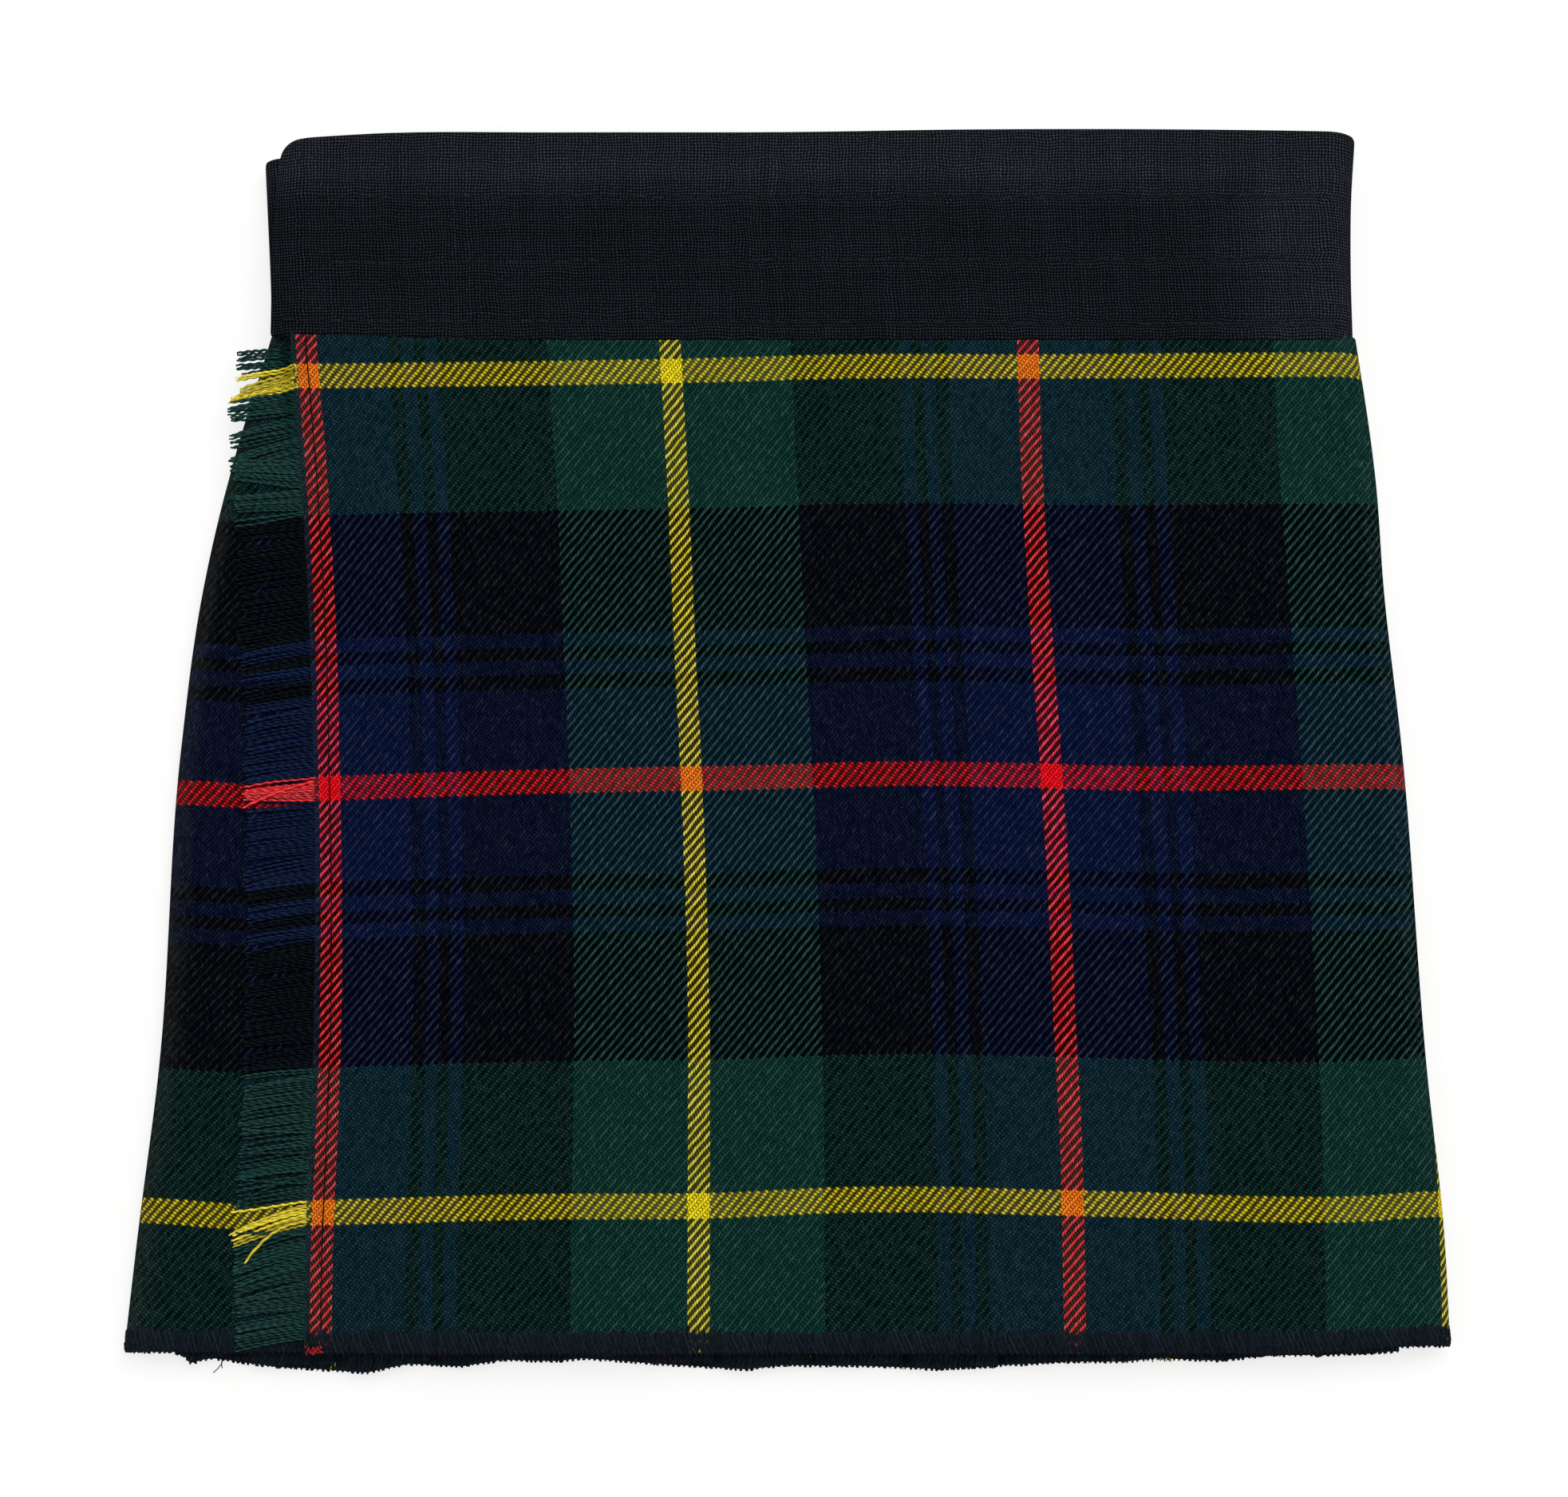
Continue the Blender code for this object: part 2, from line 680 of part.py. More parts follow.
for old in list(bpy.data.objects):
    bpy.data.objects.remove(old, do_unlink=True)
garment = bpy.data.collections.new("kilt")
bpy.context.scene.collection.children.link(garment)

# Tartan cloth: the two aprons and the pleats between them
wall_object("over_apron", [over_apron_path(s) for s in STATIONS], CLOTH, "tartan_cloth")
wall_object("pleated_back", [pleated_back_path(s) for s in STATIONS], CLOTH, "tartan_cloth")
wall_object("under_apron", [under_apron_path(s) for s in STATIONS], CLOTH, "tartan_cloth")
new_object("apron_fringe", fringe_mesh, "fringe_yarn")

# Waistband, and the tape that fastens its two ends together
waistband_over()
waistband_back()
waistband_under()
loop_base = BAND_OVER_PLEATS + BAND + 2 * GAP
fastening_tape("loop_tape", loop_base)
fastening_tape("hook_tape", loop_base + TAPE + GAP)
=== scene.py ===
"""Looks of a small child's kilt, laid flat with its wrap closed.

Metres, +Z up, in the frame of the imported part. +X is the side of the closed fold, +Y the
waist. The cloth carries a map named cloth, in threads: U counts the warp ends along the
cloth and V the weft picks up it. The stripes, the twill and the yarns all read that map.
A map named hem holds the millimetres along and above a panel's hem, and one named strand
holds each thread's tone and the share along it.
"""

import math
from collections import namedtuple

import bpy
import numpy as np
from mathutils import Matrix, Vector


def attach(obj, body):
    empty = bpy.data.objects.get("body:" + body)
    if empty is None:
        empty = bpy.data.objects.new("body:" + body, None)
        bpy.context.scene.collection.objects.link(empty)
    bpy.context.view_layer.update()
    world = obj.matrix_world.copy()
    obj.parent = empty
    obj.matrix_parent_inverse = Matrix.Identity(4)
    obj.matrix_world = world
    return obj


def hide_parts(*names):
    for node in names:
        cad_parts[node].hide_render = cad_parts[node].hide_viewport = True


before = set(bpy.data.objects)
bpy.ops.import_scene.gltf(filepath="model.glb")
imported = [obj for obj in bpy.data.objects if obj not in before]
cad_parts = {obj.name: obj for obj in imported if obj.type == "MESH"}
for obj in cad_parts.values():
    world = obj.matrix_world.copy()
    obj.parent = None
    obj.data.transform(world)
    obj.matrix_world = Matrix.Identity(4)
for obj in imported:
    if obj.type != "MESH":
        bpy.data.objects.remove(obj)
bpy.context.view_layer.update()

BODY = "root"
MM = 0.001
UP = np.array([0.0, 0.0, 1.0])

# Cloth, its layers in the part, and the thinner wall that shows
PART_CLOTH = 1.0 * MM
GAP = 0.3 * MM
LAYER = PART_CLOTH + GAP
CLOTH = 0.72 * MM
FLOOR_LAYER_Z = PART_CLOTH / 2
REST_Z = 0.03 * MM
OVER_FLAT_POINTS = 114

# Waistband and its fastening tape
BAND = 1.6 * MM
BAND_OVER_PLEATS = 5.2 * MM
BAND_BOTTOM = 80.5 * MM
BAND_BOTTOM_RISE = 1.2 * MM
BAND_RISE_START = -50.0 * MM
BAND_RISE_LENGTH = 55.0 * MM
BAND_CORNER = 4.0 * MM
BAND_END_DROOP = 1.5 * MM
BAND_END_DROOP_LENGTH = 6.5 * MM
BAND_SEAM_IN = 9.0 * MM
BAND_WEDGE = 12.0 * MM
TAPE = 0.8 * MM
SEWN_IN = 1.2 * MM
UNDER_BAND_MID = BAND_OVER_PLEATS + GAP + BAND / 2
OVER_BAND_MID = UNDER_BAND_MID + BAND + 2 * TAPE + 3 * GAP
BAND_END_PITCH = 0.66 * MM
BAND_PICK_PITCH = 0.62 * MM

# Knife pleats of the back
PLEATS = 13
PLEAT_CLOTH = 43.4 * MM
FIRST_FOLD_IN_HEM = 26.5 * MM
FIRST_FOLD_IN_WAIST = 23.0 * MM
LAST_FOLD_IN = 10.6 * MM
FACE_FLAT = 0.45
INNER_HEM_RISE = 0.6 * MM
FOLD_TURN = LAYER / 2
FOLD_REACH = PART_CLOTH / 2 + FOLD_TURN

# Side folds, hems and the lift towards the thicker waistband
RIGHT_FOLD_TOP = 6.0 * MM
RIGHT_FOLD_LOW = 4.0 * MM
RIGHT_SEAM_IN = 12.0 * MM
LEFT_ROLL_LOW = 4.0 * MM
LEFT_ROLL_OUT = 0.45
LEFT_SEAM_OVER = 0.5 * MM
UNDER_APRON_END_IN = 10.5 * MM
OVER_HEM = -121.9 * MM
OVER_HEM_CORNER_RISE = 1.4 * MM
OVER_HEM_CORNER = (100.0 * MM, 126.0 * MM)
UNDER_HEM = -121.7 * MM
HEM_BLEND = 23.2 * MM
WAIST_BLEND = 26.5 * MM
BAND_LIFT = 2.3 * MM
BAND_LIFT_LENGTH = 28.0 * MM

# Sections of the garment, one row for each height on the cloth, in millimetres
Station = namedtuple("Station", "y left right edge roll")
STATIONS = (
    Station(-122.0, -130.0, 130.0, -93.9, 10.0),
    Station(-98.8, -128.0, 129.5, -94.1, 9.5),
    Station(-67.4, -124.9, 127.1, -93.4, 8.5),
    Station(-3.0, -122.3, 124.0, -94.7, 6.5),
    Station(29.3, -118.8, 121.3, -96.6, 5.5),
    Station(54.0, -113.8, 120.1, -98.6, 4.8),
    Station(80.5, -106.0, 116.6, -101.0, 4.2),
)
HEM_Y = STATIONS[0].y * MM
WAIST_Y = STATIONS[-1].y * MM

# Sections of the waistband: a share of its height and its ends, in millimetres
BandRow = namedtuple("BandRow", "share over_left under_left right")
BAND_ROWS = (
    BandRow(0.00, -104.9, -105.8, 116.0),
    BandRow(0.35, -105.3, -106.5, 116.0),
    BandRow(0.70, -105.1, -107.4, 116.5),
    BandRow(1.00, -104.1, -108.2, 117.6),
)

# Top edge of the waistband's outer stretch, and the hidden one's slope, in millimetres
Edge = namedtuple("Edge", "x y")
BAND_TOP = (
    Edge(-105.5, 122.9),
    Edge(-83.5, 124.3),
    Edge(-46.5, 124.5),
    Edge(2.5, 124.6),
    Edge(35.0, 125.1),
    Edge(85.0, 125.1),
    Edge(107.5, 124.8),
    Edge(117.0, 124.6),
)
INNER_TOP_LEFT = Edge(-107.5, 120.3)
INNER_TOP_RIGHT = Edge(40.0, 124.5)

# Hem of each pleat at its fold and where the pleat before it covers it, in millimetres
PleatHem = namedtuple("PleatHem", "at_fold at_far")
PLEAT_HEMS = (
    PleatHem(-122.6, -122.0),
    PleatHem(-122.8, -122.4),
    PleatHem(-123.0, -123.5),
    PleatHem(-123.9, -123.7),
    PleatHem(-125.2, -124.1),
    PleatHem(-124.5, -125.1),
    PleatHem(-124.5, -124.5),
    PleatHem(-124.2, -125.2),
    PleatHem(-122.9, -124.0),
    PleatHem(-123.4, -123.6),
    PleatHem(-124.0, -124.6),
    PleatHem(-124.8, -125.8),
    PleatHem(-122.4, -124.6),
)
MEAN_PLEAT_HEM = -123.8 * MM

# Soft folds and troughs that run from the waist to the hem, in millimetres
Ridge = namedtuple("Ridge", "x_waist x_hem width height y_low y_high")
OVER_RIDGES = (
    Ridge(-70.0, -64.0, 30.0, 0.7, -150.0, 10.0),
    Ridge(-24.0, -33.0, 26.0, 1.1, -150.0, 45.0),
    Ridge(18.0, 15.0, 34.0, 0.6, -80.0, 70.0),
    Ridge(50.0, 62.0, 30.0, 1.0, -150.0, 20.0),
    Ridge(86.0, 98.0, 24.0, 0.7, -150.0, 60.0),
)
OVER_CREASES = (
    Ridge(-84.0, -86.0, 9.0, -0.16, -150.0, -20.0),
    Ridge(-47.0, -52.0, 8.0, -0.20, -150.0, -35.0),
    Ridge(-2.0, -4.0, 11.0, 0.14, -60.0, 60.0),
    Ridge(34.0, 41.0, 7.0, -0.18, -150.0, 5.0),
    Ridge(72.0, 80.0, 9.0, 0.15, -110.0, 78.0),
    Ridge(103.0, 112.0, 6.0, -0.14, -150.0, 40.0),
)
UNDER_RIDGES = (
    Ridge(-86.0, -106.0, 24.0, 0.4, -150.0, 40.0),
    Ridge(-30.0, -42.0, 36.0, 0.5, -150.0, 20.0),
    Ridge(34.0, 40.0, 40.0, 0.6, -150.0, 50.0),
)

# The sett: threads of each colour from the middle of a yellow stripe to that of a red one
Stripe = namedtuple("Stripe", "colour threads")
SETT = (
    Stripe("yellow", 5),
    Stripe("green", 52),
    Stripe("black", 50),
    Stripe("blue", 6),
    Stripe("black", 6),
    Stripe("blue", 6),
    Stripe("black", 6),
    Stripe("blue", 33),
    Stripe("red", 5),
)
HALF_SETT = sum(stripe.threads for stripe in SETT)
TWILL = 4
END_PITCH = 0.4315 * MM
PICK_PITCH = 0.4985 * MM

# Floats of the twill, in threads: where the first one's middle lies on its thread, how far they
# lean and half their length and width. Then how brightly they show and their crests' painted glint
Float = namedtuple("Float", "middle lean long wide share glint")
WARP_FLOAT = Float(0.0, 0.20, 1.50, 1.20, 0.95, 0.44)
WEFT_FLOAT = Float(3.0, -0.24, 1.24, 0.88, 0.93, 0.10)
# How much higher a bright yarn stands beside a dull one, and how much of its colour it lends
BRIGHT_SWELL = 0.18
BRIGHT_BLEED = 0.12

# Linear colours of the dyed yarns
YARNS = {
    "yellow": (0.51, 0.405, 0.0085),
    "green": (0.0017, 0.0205, 0.0158),
    "black": (0.0003, 0.0007, 0.0022),
    "blue": (0.0010, 0.0038, 0.0240),
    "red": (0.51, 0.0045, 0.0085),
}

# Half the width and half the height of sewing threads and loose ends
TOPSTITCH_SECTION = (0.19 * MM, 0.15 * MM)
LOOPER_SECTION = (0.10 * MM, 0.08 * MM)
EDGE_STITCH_SECTION = (0.13 * MM, 0.11 * MM)
LOOSE_SECTION = (0.10 * MM, 0.10 * MM)
FRAY_SECTION = (0.12 * MM, 0.10 * MM)

# Linear colours of the sewing, the waistband, pale fuzz with painted sheen on edges, and the painted glint
# on wool
OVERLOCK_DYE = (0.0056, 0.0092, 0.0132)
HEM_THREAD = (0.0048, 0.0082, 0.0120)
SEWING_DYE = (0.0060, 0.0060, 0.0080)
TAPE_DYE = (0.010, 0.010, 0.013)
BAND_WARP_DYE = (0.0180, 0.0205, 0.0270, 1.0)
BAND_WEFT_DYE = (0.0155, 0.0178, 0.0245, 1.0)
PAINTED_SHEEN_FUZZ_WOOL = (0.060, 0.060, 0.050, 1.0)
PAINTED_SHEEN_FUZZ_BAND = (0.075, 0.069, 0.055, 1.0)
PAINTED_GLINT_TINT = (0.88, 1.0, 1.02)
FRINGE_PAINTED_GLINT_TINT = (0.65, 1.0, 1.02)

# How the wool takes light, how deep its weave looks, and how fine its fibres are for each metre
WOOL_ROUGHNESS = 0.9
WOOL_SPECULAR = 0.003
CLOTH_RELIEF = 0.16 * MM
FIBRE_SCALE = 5000.0

# Middles of four warp stripes of the over apron, in millimetres. The last one is measured as if
# the cloth ran on flat, because it lies on the closed fold
WarpGuide = namedtuple("WarpGuide", "y red_left yellow red_right yellow_right")
WARP_GUIDES = (
    WarpGuide(-118.1, -90.9, -17.2, 56.1, 130.2),
    WarpGuide(-101.2, -91.0, -17.3, 56.0, 130.4),
    WarpGuide(-82.6, -90.6, -17.3, 55.8, 130.5),
    WarpGuide(-57.6, -90.2, -17.4, 54.8, 130.2),
    WarpGuide(-32.2, -90.6, -18.1, 54.0, 129.4),
    WarpGuide(-6.5, -91.6, -19.2, 52.8, 128.6),
    WarpGuide(19.5, -92.8, -20.6, 51.3, 127.4),
    WarpGuide(45.8, -94.8, -21.8, 50.0, 126.0),
    WarpGuide(79.2, -97.8, -23.7, 49.0, 124.3),
)

# Middles of the three weft stripes of each layer, in millimetres
WeftGuide = namedtuple("WeftGuide", "x low red high")
OVER_WEFT = (
    WeftGuide(-93.0, -95.0, -11.2, 73.2),
    WeftGuide(-77.6, -94.6, -10.6, 73.4),
    WeftGuide(-52.1, -93.9, -9.8, 73.7),
    WeftGuide(-13.7, -93.6, -9.1, 74.4),
    WeftGuide(12.0, -92.5, -8.4, 75.1),
    WeftGuide(24.6, -92.4, -8.2, 75.2),
    WeftGuide(50.0, -93.0, -8.6, 75.1),
    WeftGuide(69.3, -93.5, -9.1, 75.2),
    WeftGuide(93.0, -94.3, -9.0, 75.4),
    WeftGuide(111.7, -94.3, -8.7, 75.5),
    WeftGuide(124.3, -93.4, -8.6, 75.5),
)
UNDER_WEFT = (
    WeftGuide(-129.0, -94.4, -11.5, 73.0),
    WeftGuide(-120.7, -94.8, -11.7, 72.8),
    WeftGuide(-112.0, -95.5, -12.3, 72.4),
    WeftGuide(-60.0, -95.2, -12.0, 72.6),
    WeftGuide(0.0, -94.4, -11.0, 73.4),
    WeftGuide(120.0, -93.8, -10.2, 74.0),
)
BACK_WEFT = (
    WeftGuide(-129.0, -94.4, -11.5, 73.0),
    WeftGuide(0.0, -94.8, -11.2, 73.6),
    WeftGuide(129.0, -93.6, -9.0, 75.2),
)

# The under apron's left side shows its black stripe: where that stripe starts
UNDER_BLACK_THREAD = 57
UNDER_BLACK_X = -129.3 * MM


def smoothstep(t):
    """Ease from 0 to 1."""
    t = np.clip(t, 0.0, 1.0)
    return t * t * (3.0 - 2.0 * t)


def blend(a, b, t):
    """Value a share t of the way from a to b."""
    return a + (b - a) * t


def read_smooth(rows, key, value, at):
    """Smooth reading of one named column, in millimetres, against another, as metres."""
    keys = np.array([getattr(row, key) for row in rows], float) * MM
    values = np.array([getattr(row, value) for row in rows], float) * MM
    slopes = np.gradient(values, keys)
    at = np.clip(np.asarray(at, float), keys[0], keys[-1])
    i = np.clip(np.searchsorted(keys, at, side="right") - 1, 0, len(keys) - 2)
    run = keys[i + 1] - keys[i]
    t = (at - keys[i]) / run
    square = t * t
    cube = square * t
    start = (2 * cube - 3 * square + 1) * values[i] + (cube - 2 * square + t) * run * slopes[i]
    end = (3 * square - 2 * cube) * values[i + 1] + (cube - square) * run * slopes[i + 1]
    return start + end


def station_at(y):
    """A section of the garment at a height."""
    columns = [float(read_smooth(STATIONS, "y", name, y)) for name in Station._fields[1:]]
    return Station(y, *columns)


def band_bottom(x):
    """Lower edge of the waistband, which rises a little towards its free end."""
    return BAND_BOTTOM + BAND_BOTTOM_RISE * smoothstep((BAND_RISE_START - x) / BAND_RISE_LENGTH)


def band_top(x):
    """Upper edge of the waistband's outer stretch."""
    return read_smooth(BAND_TOP, "x", "y", x)


def inner_top(x):
    """Upper edge of the waistband's hidden stretches, which slopes down to the left."""
    share = (x - INNER_TOP_LEFT.x * MM) / ((INNER_TOP_RIGHT.x - INNER_TOP_LEFT.x) * MM)
    sloped = blend(INNER_TOP_LEFT.y * MM, INNER_TOP_RIGHT.y * MM, np.clip(share, 0.0, 1.0))
    return np.minimum(sloped, band_top(x) - GAP)


def over_hem(x):
    """Hem line of the over apron, which rises at its right corner."""
    start, end = OVER_HEM_CORNER
    return OVER_HEM + OVER_HEM_CORNER_RISE * smoothstep((x - start) / (end - start))


def panel_y(y, x, hem):
    """Height of a ring's point, moved near the hem and the waist to meet their lines."""
    low = np.clip(1.0 - (y - HEM_Y) / HEM_BLEND, 0.0, 1.0)
    high = np.clip(1.0 - (WAIST_Y - y) / WAIST_BLEND, 0.0, 1.0)
    return y + (hem - HEM_Y) * low + (band_bottom(x) + SEWN_IN - WAIST_Y) * high


def waist_share(y):
    """Share of the way from the hem to the waist."""
    return (y - HEM_Y) / (WAIST_Y - HEM_Y)


def first_fold(station):
    """Outer fold of the first pleat, beside the right fold."""
    return station.right - blend(FIRST_FOLD_IN_HEM, FIRST_FOLD_IN_WAIST, waist_share(station.y))


def last_fold(station):
    """Outer fold of the last pleat, beside the left roll."""
    return station.left + LAST_FOLD_IN


def reveal(station):
    """Width of a pleat's face that shows."""
    return (first_fold(station) - last_fold(station)) / (PLEATS - 1)


def depth(station):
    """How far a pleat turns back under its own face."""
    return (PLEAT_CLOTH - reveal(station)) / 2


def face_rise(pleat, share):
    """How far a pleat's face has lifted off the surface, a share of its reveal from its fold."""
    if pleat == 0:
        return 0.0 * share
    return 2 * LAYER * smoothstep((share - FACE_FLAT) / (1.0 - FACE_FLAT))


def pleats_top(station):
    """Highest point of the stacked pleats."""
    return 2 * LAYER + face_rise(1, depth(station) / reveal(station)) + PART_CLOTH


def ridge_height(ridges, y, x):
    """Summed height of the soft folds along a ring."""
    total = np.zeros_like(x)
    for ridge in ridges:
        middle = blend(ridge.x_hem, ridge.x_waist, waist_share(y)) * MM
        across = 1.0 - smoothstep(np.abs(x - middle) / (ridge.width * MM))
        length = (ridge.y_high - ridge.y_low) * MM
        along = smoothstep((ridge.y_high * MM - y) / (0.4 * length))
        along *= smoothstep((y - ridge.y_low * MM) / (0.2 * length))
        total += ridge.height * MM * across * along
    return total


def under_mid(station, x):
    """Middle of the under apron's wall, which lies on the pleats."""
    return pleats_top(station) + GAP + PART_CLOTH / 2 + ridge_height(UNDER_RIDGES, station.y, x)


def over_mid(station, x):
    """Middle of the over apron's wall: the under apron's, moved out by a layer and its own folds."""
    lift = BAND_LIFT * smoothstep((station.y - BAND_BOTTOM) / BAND_LIFT_LENGTH + 1.0)
    own = ridge_height(OVER_RIDGES, station.y, x) + ridge_height(OVER_CREASES, station.y, x)
    return under_mid(station, x) + LAYER + lift + own


def arc(side_x, inward, side_z, end_z, steps):
    """Quarter ellipse from a side's outermost point in to its flat stretch, first point left out."""
    angle = np.linspace(0.0, math.pi / 2, steps + 1)[1:]
    return side_x + inward * (1.0 - np.cos(angle)), side_z + (end_z - side_z) * np.sin(angle)


def join(parts):
    """One path from several stretches of X and Z."""
    xs = np.concatenate([np.atleast_1d(part[0]) for part in parts])
    zs = np.concatenate([np.atleast_1d(part[1]) for part in parts])
    return xs, zs


def side_fold(side_x, side_z, first, last):
    """A side of the garment from one end round its outermost point to the other.

    Each end is how far in it lies, its height and the number of steps to it."""
    before = arc(side_x, first[0], side_z, *first[1:])
    after = arc(side_x, last[0], side_z, *last[1:])
    return join([(before[0][::-1], before[1][::-1]), (side_x, side_z), after])


def over_apron_path(y):
    """The over apron from its fringed edge, round the right fold, to its seam underneath."""
    station = station_at(y)
    side_x = station.right - CLOTH / 2
    flat = np.linspace(station.edge, side_x - RIGHT_FOLD_TOP, OVER_FLAT_POINTS)
    top_z = over_mid(station, flat)
    side_z = (top_z[-1] + FLOOR_LAYER_Z) / 2
    side = side_fold(side_x, side_z, (-RIGHT_FOLD_TOP, top_z[-1], 8), (-RIGHT_FOLD_LOW, FLOOR_LAYER_Z, 7))
    under = np.linspace(side[0][-1], station.right - RIGHT_SEAM_IN, 6)[1:]
    x, z = join([(flat[:-1], top_z[:-1]), side, (under, np.full(5, FLOOR_LAYER_Z))])
    return x, panel_y(y, x, over_hem(x)), z


def under_apron_path(y):
    """The under apron from its seam underneath, round the left roll, to its hidden free edge."""
    station = station_at(y)
    side_x = station.left + CLOTH / 2
    lead_share = np.linspace(0.0, 1.0, 8)[:-1]
    lead_start = last_fold(station) - LEFT_SEAM_OVER - GAP
    lead_x = blend(lead_start, side_x + LEFT_ROLL_LOW, lead_share)
    lead_z = FLOOR_LAYER_Z + 2 * LAYER * (1.0 - smoothstep(lead_share))
    flat = np.linspace(side_x + station.roll, station.right - UNDER_APRON_END_IN, 92)
    flat_z = under_mid(station, flat)
    side_z = blend(FLOOR_LAYER_Z, flat_z[0], LEFT_ROLL_OUT)
    side = side_fold(side_x, side_z, (LEFT_ROLL_LOW, FLOOR_LAYER_Z, 6), (station.roll, flat_z[0], 9))
    x, z = join([(lead_x, lead_z), side, (flat[1:], flat_z[1:])])
    return x, panel_y(y, x, UNDER_HEM), z


def half_turn(centre_x, centre_z, side):
    """Points round a pleat's fold, which faces left for a side of -1 and right for 1."""
    angle = np.radians(np.linspace(-90.0, 90.0, 7))
    return centre_x + side * FOLD_TURN * np.cos(angle), centre_z + FOLD_TURN * np.sin(angle)


def pleated_back_path(y):
    """The back through all its knife pleats, and how far each point's hem is from the mean one."""
    station = station_at(y)
    width = reveal(station)
    turn_in = depth(station) - FOLD_REACH
    xs = []
    zs = []
    hems = []

    def add(x, z, hem):
        x = np.atleast_1d(x)
        xs.append(x)
        zs.append(np.atleast_1d(z) + 0.0 * x)
        hems.append(hem + 0.0 * x)

    start = station.right - RIGHT_SEAM_IN - GAP
    lead = np.linspace(start, first_fold(station) + FOLD_REACH, 10)[:-1]
    add(lead, FLOOR_LAYER_Z, PLEAT_HEMS[0].at_far * MM)
    run = np.linspace(0.0, 1.0, 9)[1:-1]
    for pleat in range(PLEATS):
        fold = first_fold(station) - pleat * width
        at_fold = PLEAT_HEMS[pleat].at_fold * MM
        inner_hem = at_fold + INNER_HEM_RISE
        x, z = half_turn(fold + FOLD_REACH, FLOOR_LAYER_Z + LAYER / 2, -1)
        add(x, z, at_fold)

        inward = blend(FOLD_REACH, turn_in, run)
        rise = face_rise(pleat, inward / width)
        add(fold + inward, FLOOR_LAYER_Z + LAYER + rise, blend(at_fold, inner_hem, inward / turn_in))

        inner_z = FLOOR_LAYER_Z + 1.5 * LAYER + float(face_rise(pleat, turn_in / width))
        x, z = half_turn(fold + turn_in, inner_z, 1)
        add(x, z, inner_hem)

        following = PLEAT_HEMS[min(pleat + 1, PLEATS - 1)]
        inward = inward[::-1]
        rise = face_rise(pleat, inward / width)
        hem = blend(following.at_far * MM, inner_hem, inward / turn_in)
        add(fold + inward, FLOOR_LAYER_Z + 2 * LAYER + rise, hem)

        if pleat < PLEATS - 1:
            share = np.linspace(1.0, FOLD_REACH / width, 12)[:-1]
            hem = blend(following.at_fold, following.at_far, share) * MM
            add(fold - width + share * width, FLOOR_LAYER_Z + face_rise(pleat + 1, share), hem)
    end = last_fold(station) - LEFT_SEAM_OVER
    add(np.linspace(last_fold(station) + FOLD_REACH, end, 3), FLOOR_LAYER_Z + 2 * LAYER,
        PLEAT_HEMS[-1].at_fold * MM)
    x = np.concatenate(xs)
    hem = np.concatenate(hems)
    return x, panel_y(y, x, hem), np.concatenate(zs), hem


def grid_of(paths):
    """Rings of X, Y and Z as one array."""
    return np.array([np.stack(path[:3], axis=1) for path in paths])


def along(grid):
    """Length along each ring of a grid from its first point."""
    steps = np.linalg.norm(np.diff(grid, axis=1), axis=2)
    return np.concatenate([np.zeros((len(grid), 1)), np.cumsum(steps, axis=1)], axis=1)


def grid_normals(grid):
    """Unit vectors out of a grid's face: its rings run along the path and its rows up the cloth."""
    path = np.gradient(grid, axis=1)
    up = np.gradient(grid, axis=0)
    normals = np.cross(path, up)
    return normals / np.linalg.norm(normals, axis=2, keepdims=True)


def threads_at(x, marks, numbers):
    """Thread numbers read against places, and carried on past both ends at the cloth's own pitch."""
    before = numbers[0] + (x - marks[0]) / END_PITCH
    after = numbers[-1] + (x - marks[-1]) / END_PITCH
    return np.where(x < marks[0], before, np.where(x > marks[-1], after, np.interp(x, marks, numbers)))


def over_warp(grid):
    """Warp thread of each point of the over apron, counted from the middle yellow stripe."""
    lengths = along(grid)
    threads = np.zeros(lengths.shape)
    last = OVER_FLAT_POINTS - 2
    numbers = np.array([-1.0, 0.0, 1.0, 2.0]) * HALF_SETT
    for row in range(len(grid)):
        y = float(np.mean(grid[row, :, 1]))
        marks = [float(read_smooth(WARP_GUIDES, "y", name, y)) for name in WarpGuide._fields[1:]]
        run_on = grid[row, last, 0] + lengths[row] - lengths[row, last]
        flattened = np.where(np.arange(len(run_on)) <= last, grid[row, :, 0], run_on)
        threads[row] = threads_at(flattened, marks, numbers)
    return threads


def under_warp(grid):
    """Warp thread of each point of the under apron, whose black stripe shows at the left."""
    lengths = along(grid)
    side = int(np.argmin(grid[0, :, 0]))
    threads = np.zeros(lengths.shape)
    for row in range(len(grid)):
        middle_x = grid[row, side + 12, 0]
        middle = UNDER_BLACK_THREAD + (middle_x - UNDER_BLACK_X) / END_PITCH
        threads[row] = middle + (lengths[row] - lengths[row, side + 12]) / END_PITCH
    return threads


def back_warp(grid, first, last):
    """Warp thread of each point of the pleats, between those of the two aprons."""
    share = along(grid) / along(grid)[:, -1:]
    natural = np.mean(along(grid)[:, -1]) / END_PITCH
    sett = 2 * HALF_SETT
    repeats = round((np.mean(first) + natural - np.mean(last)) / sett)
    end = last + repeats * sett
    return first[:, None] + share * (end - first)[:, None]


def weft_picks(guides, x, y):
    """Weft pick of each point, counted from the middle of the lower yellow stripe."""
    low = read_smooth(guides, "x", "low", x)
    red = read_smooth(guides, "x", "red", x)
    high = read_smooth(guides, "x", "high", x)
    lower = (y - low) / (red - low) * HALF_SETT
    upper = HALF_SETT + (y - red) / (high - red) * HALF_SETT
    beneath = (y - low) / PICK_PITCH
    return np.where(y < low, beneath, np.where(y < red, lower, upper))


def link(obj, material):
    """Put a piece in the scene and give it its body and its material."""
    bpy.context.scene.collection.objects.link(obj)
    obj.data.materials.append(material)
    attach(obj, BODY)
    return obj


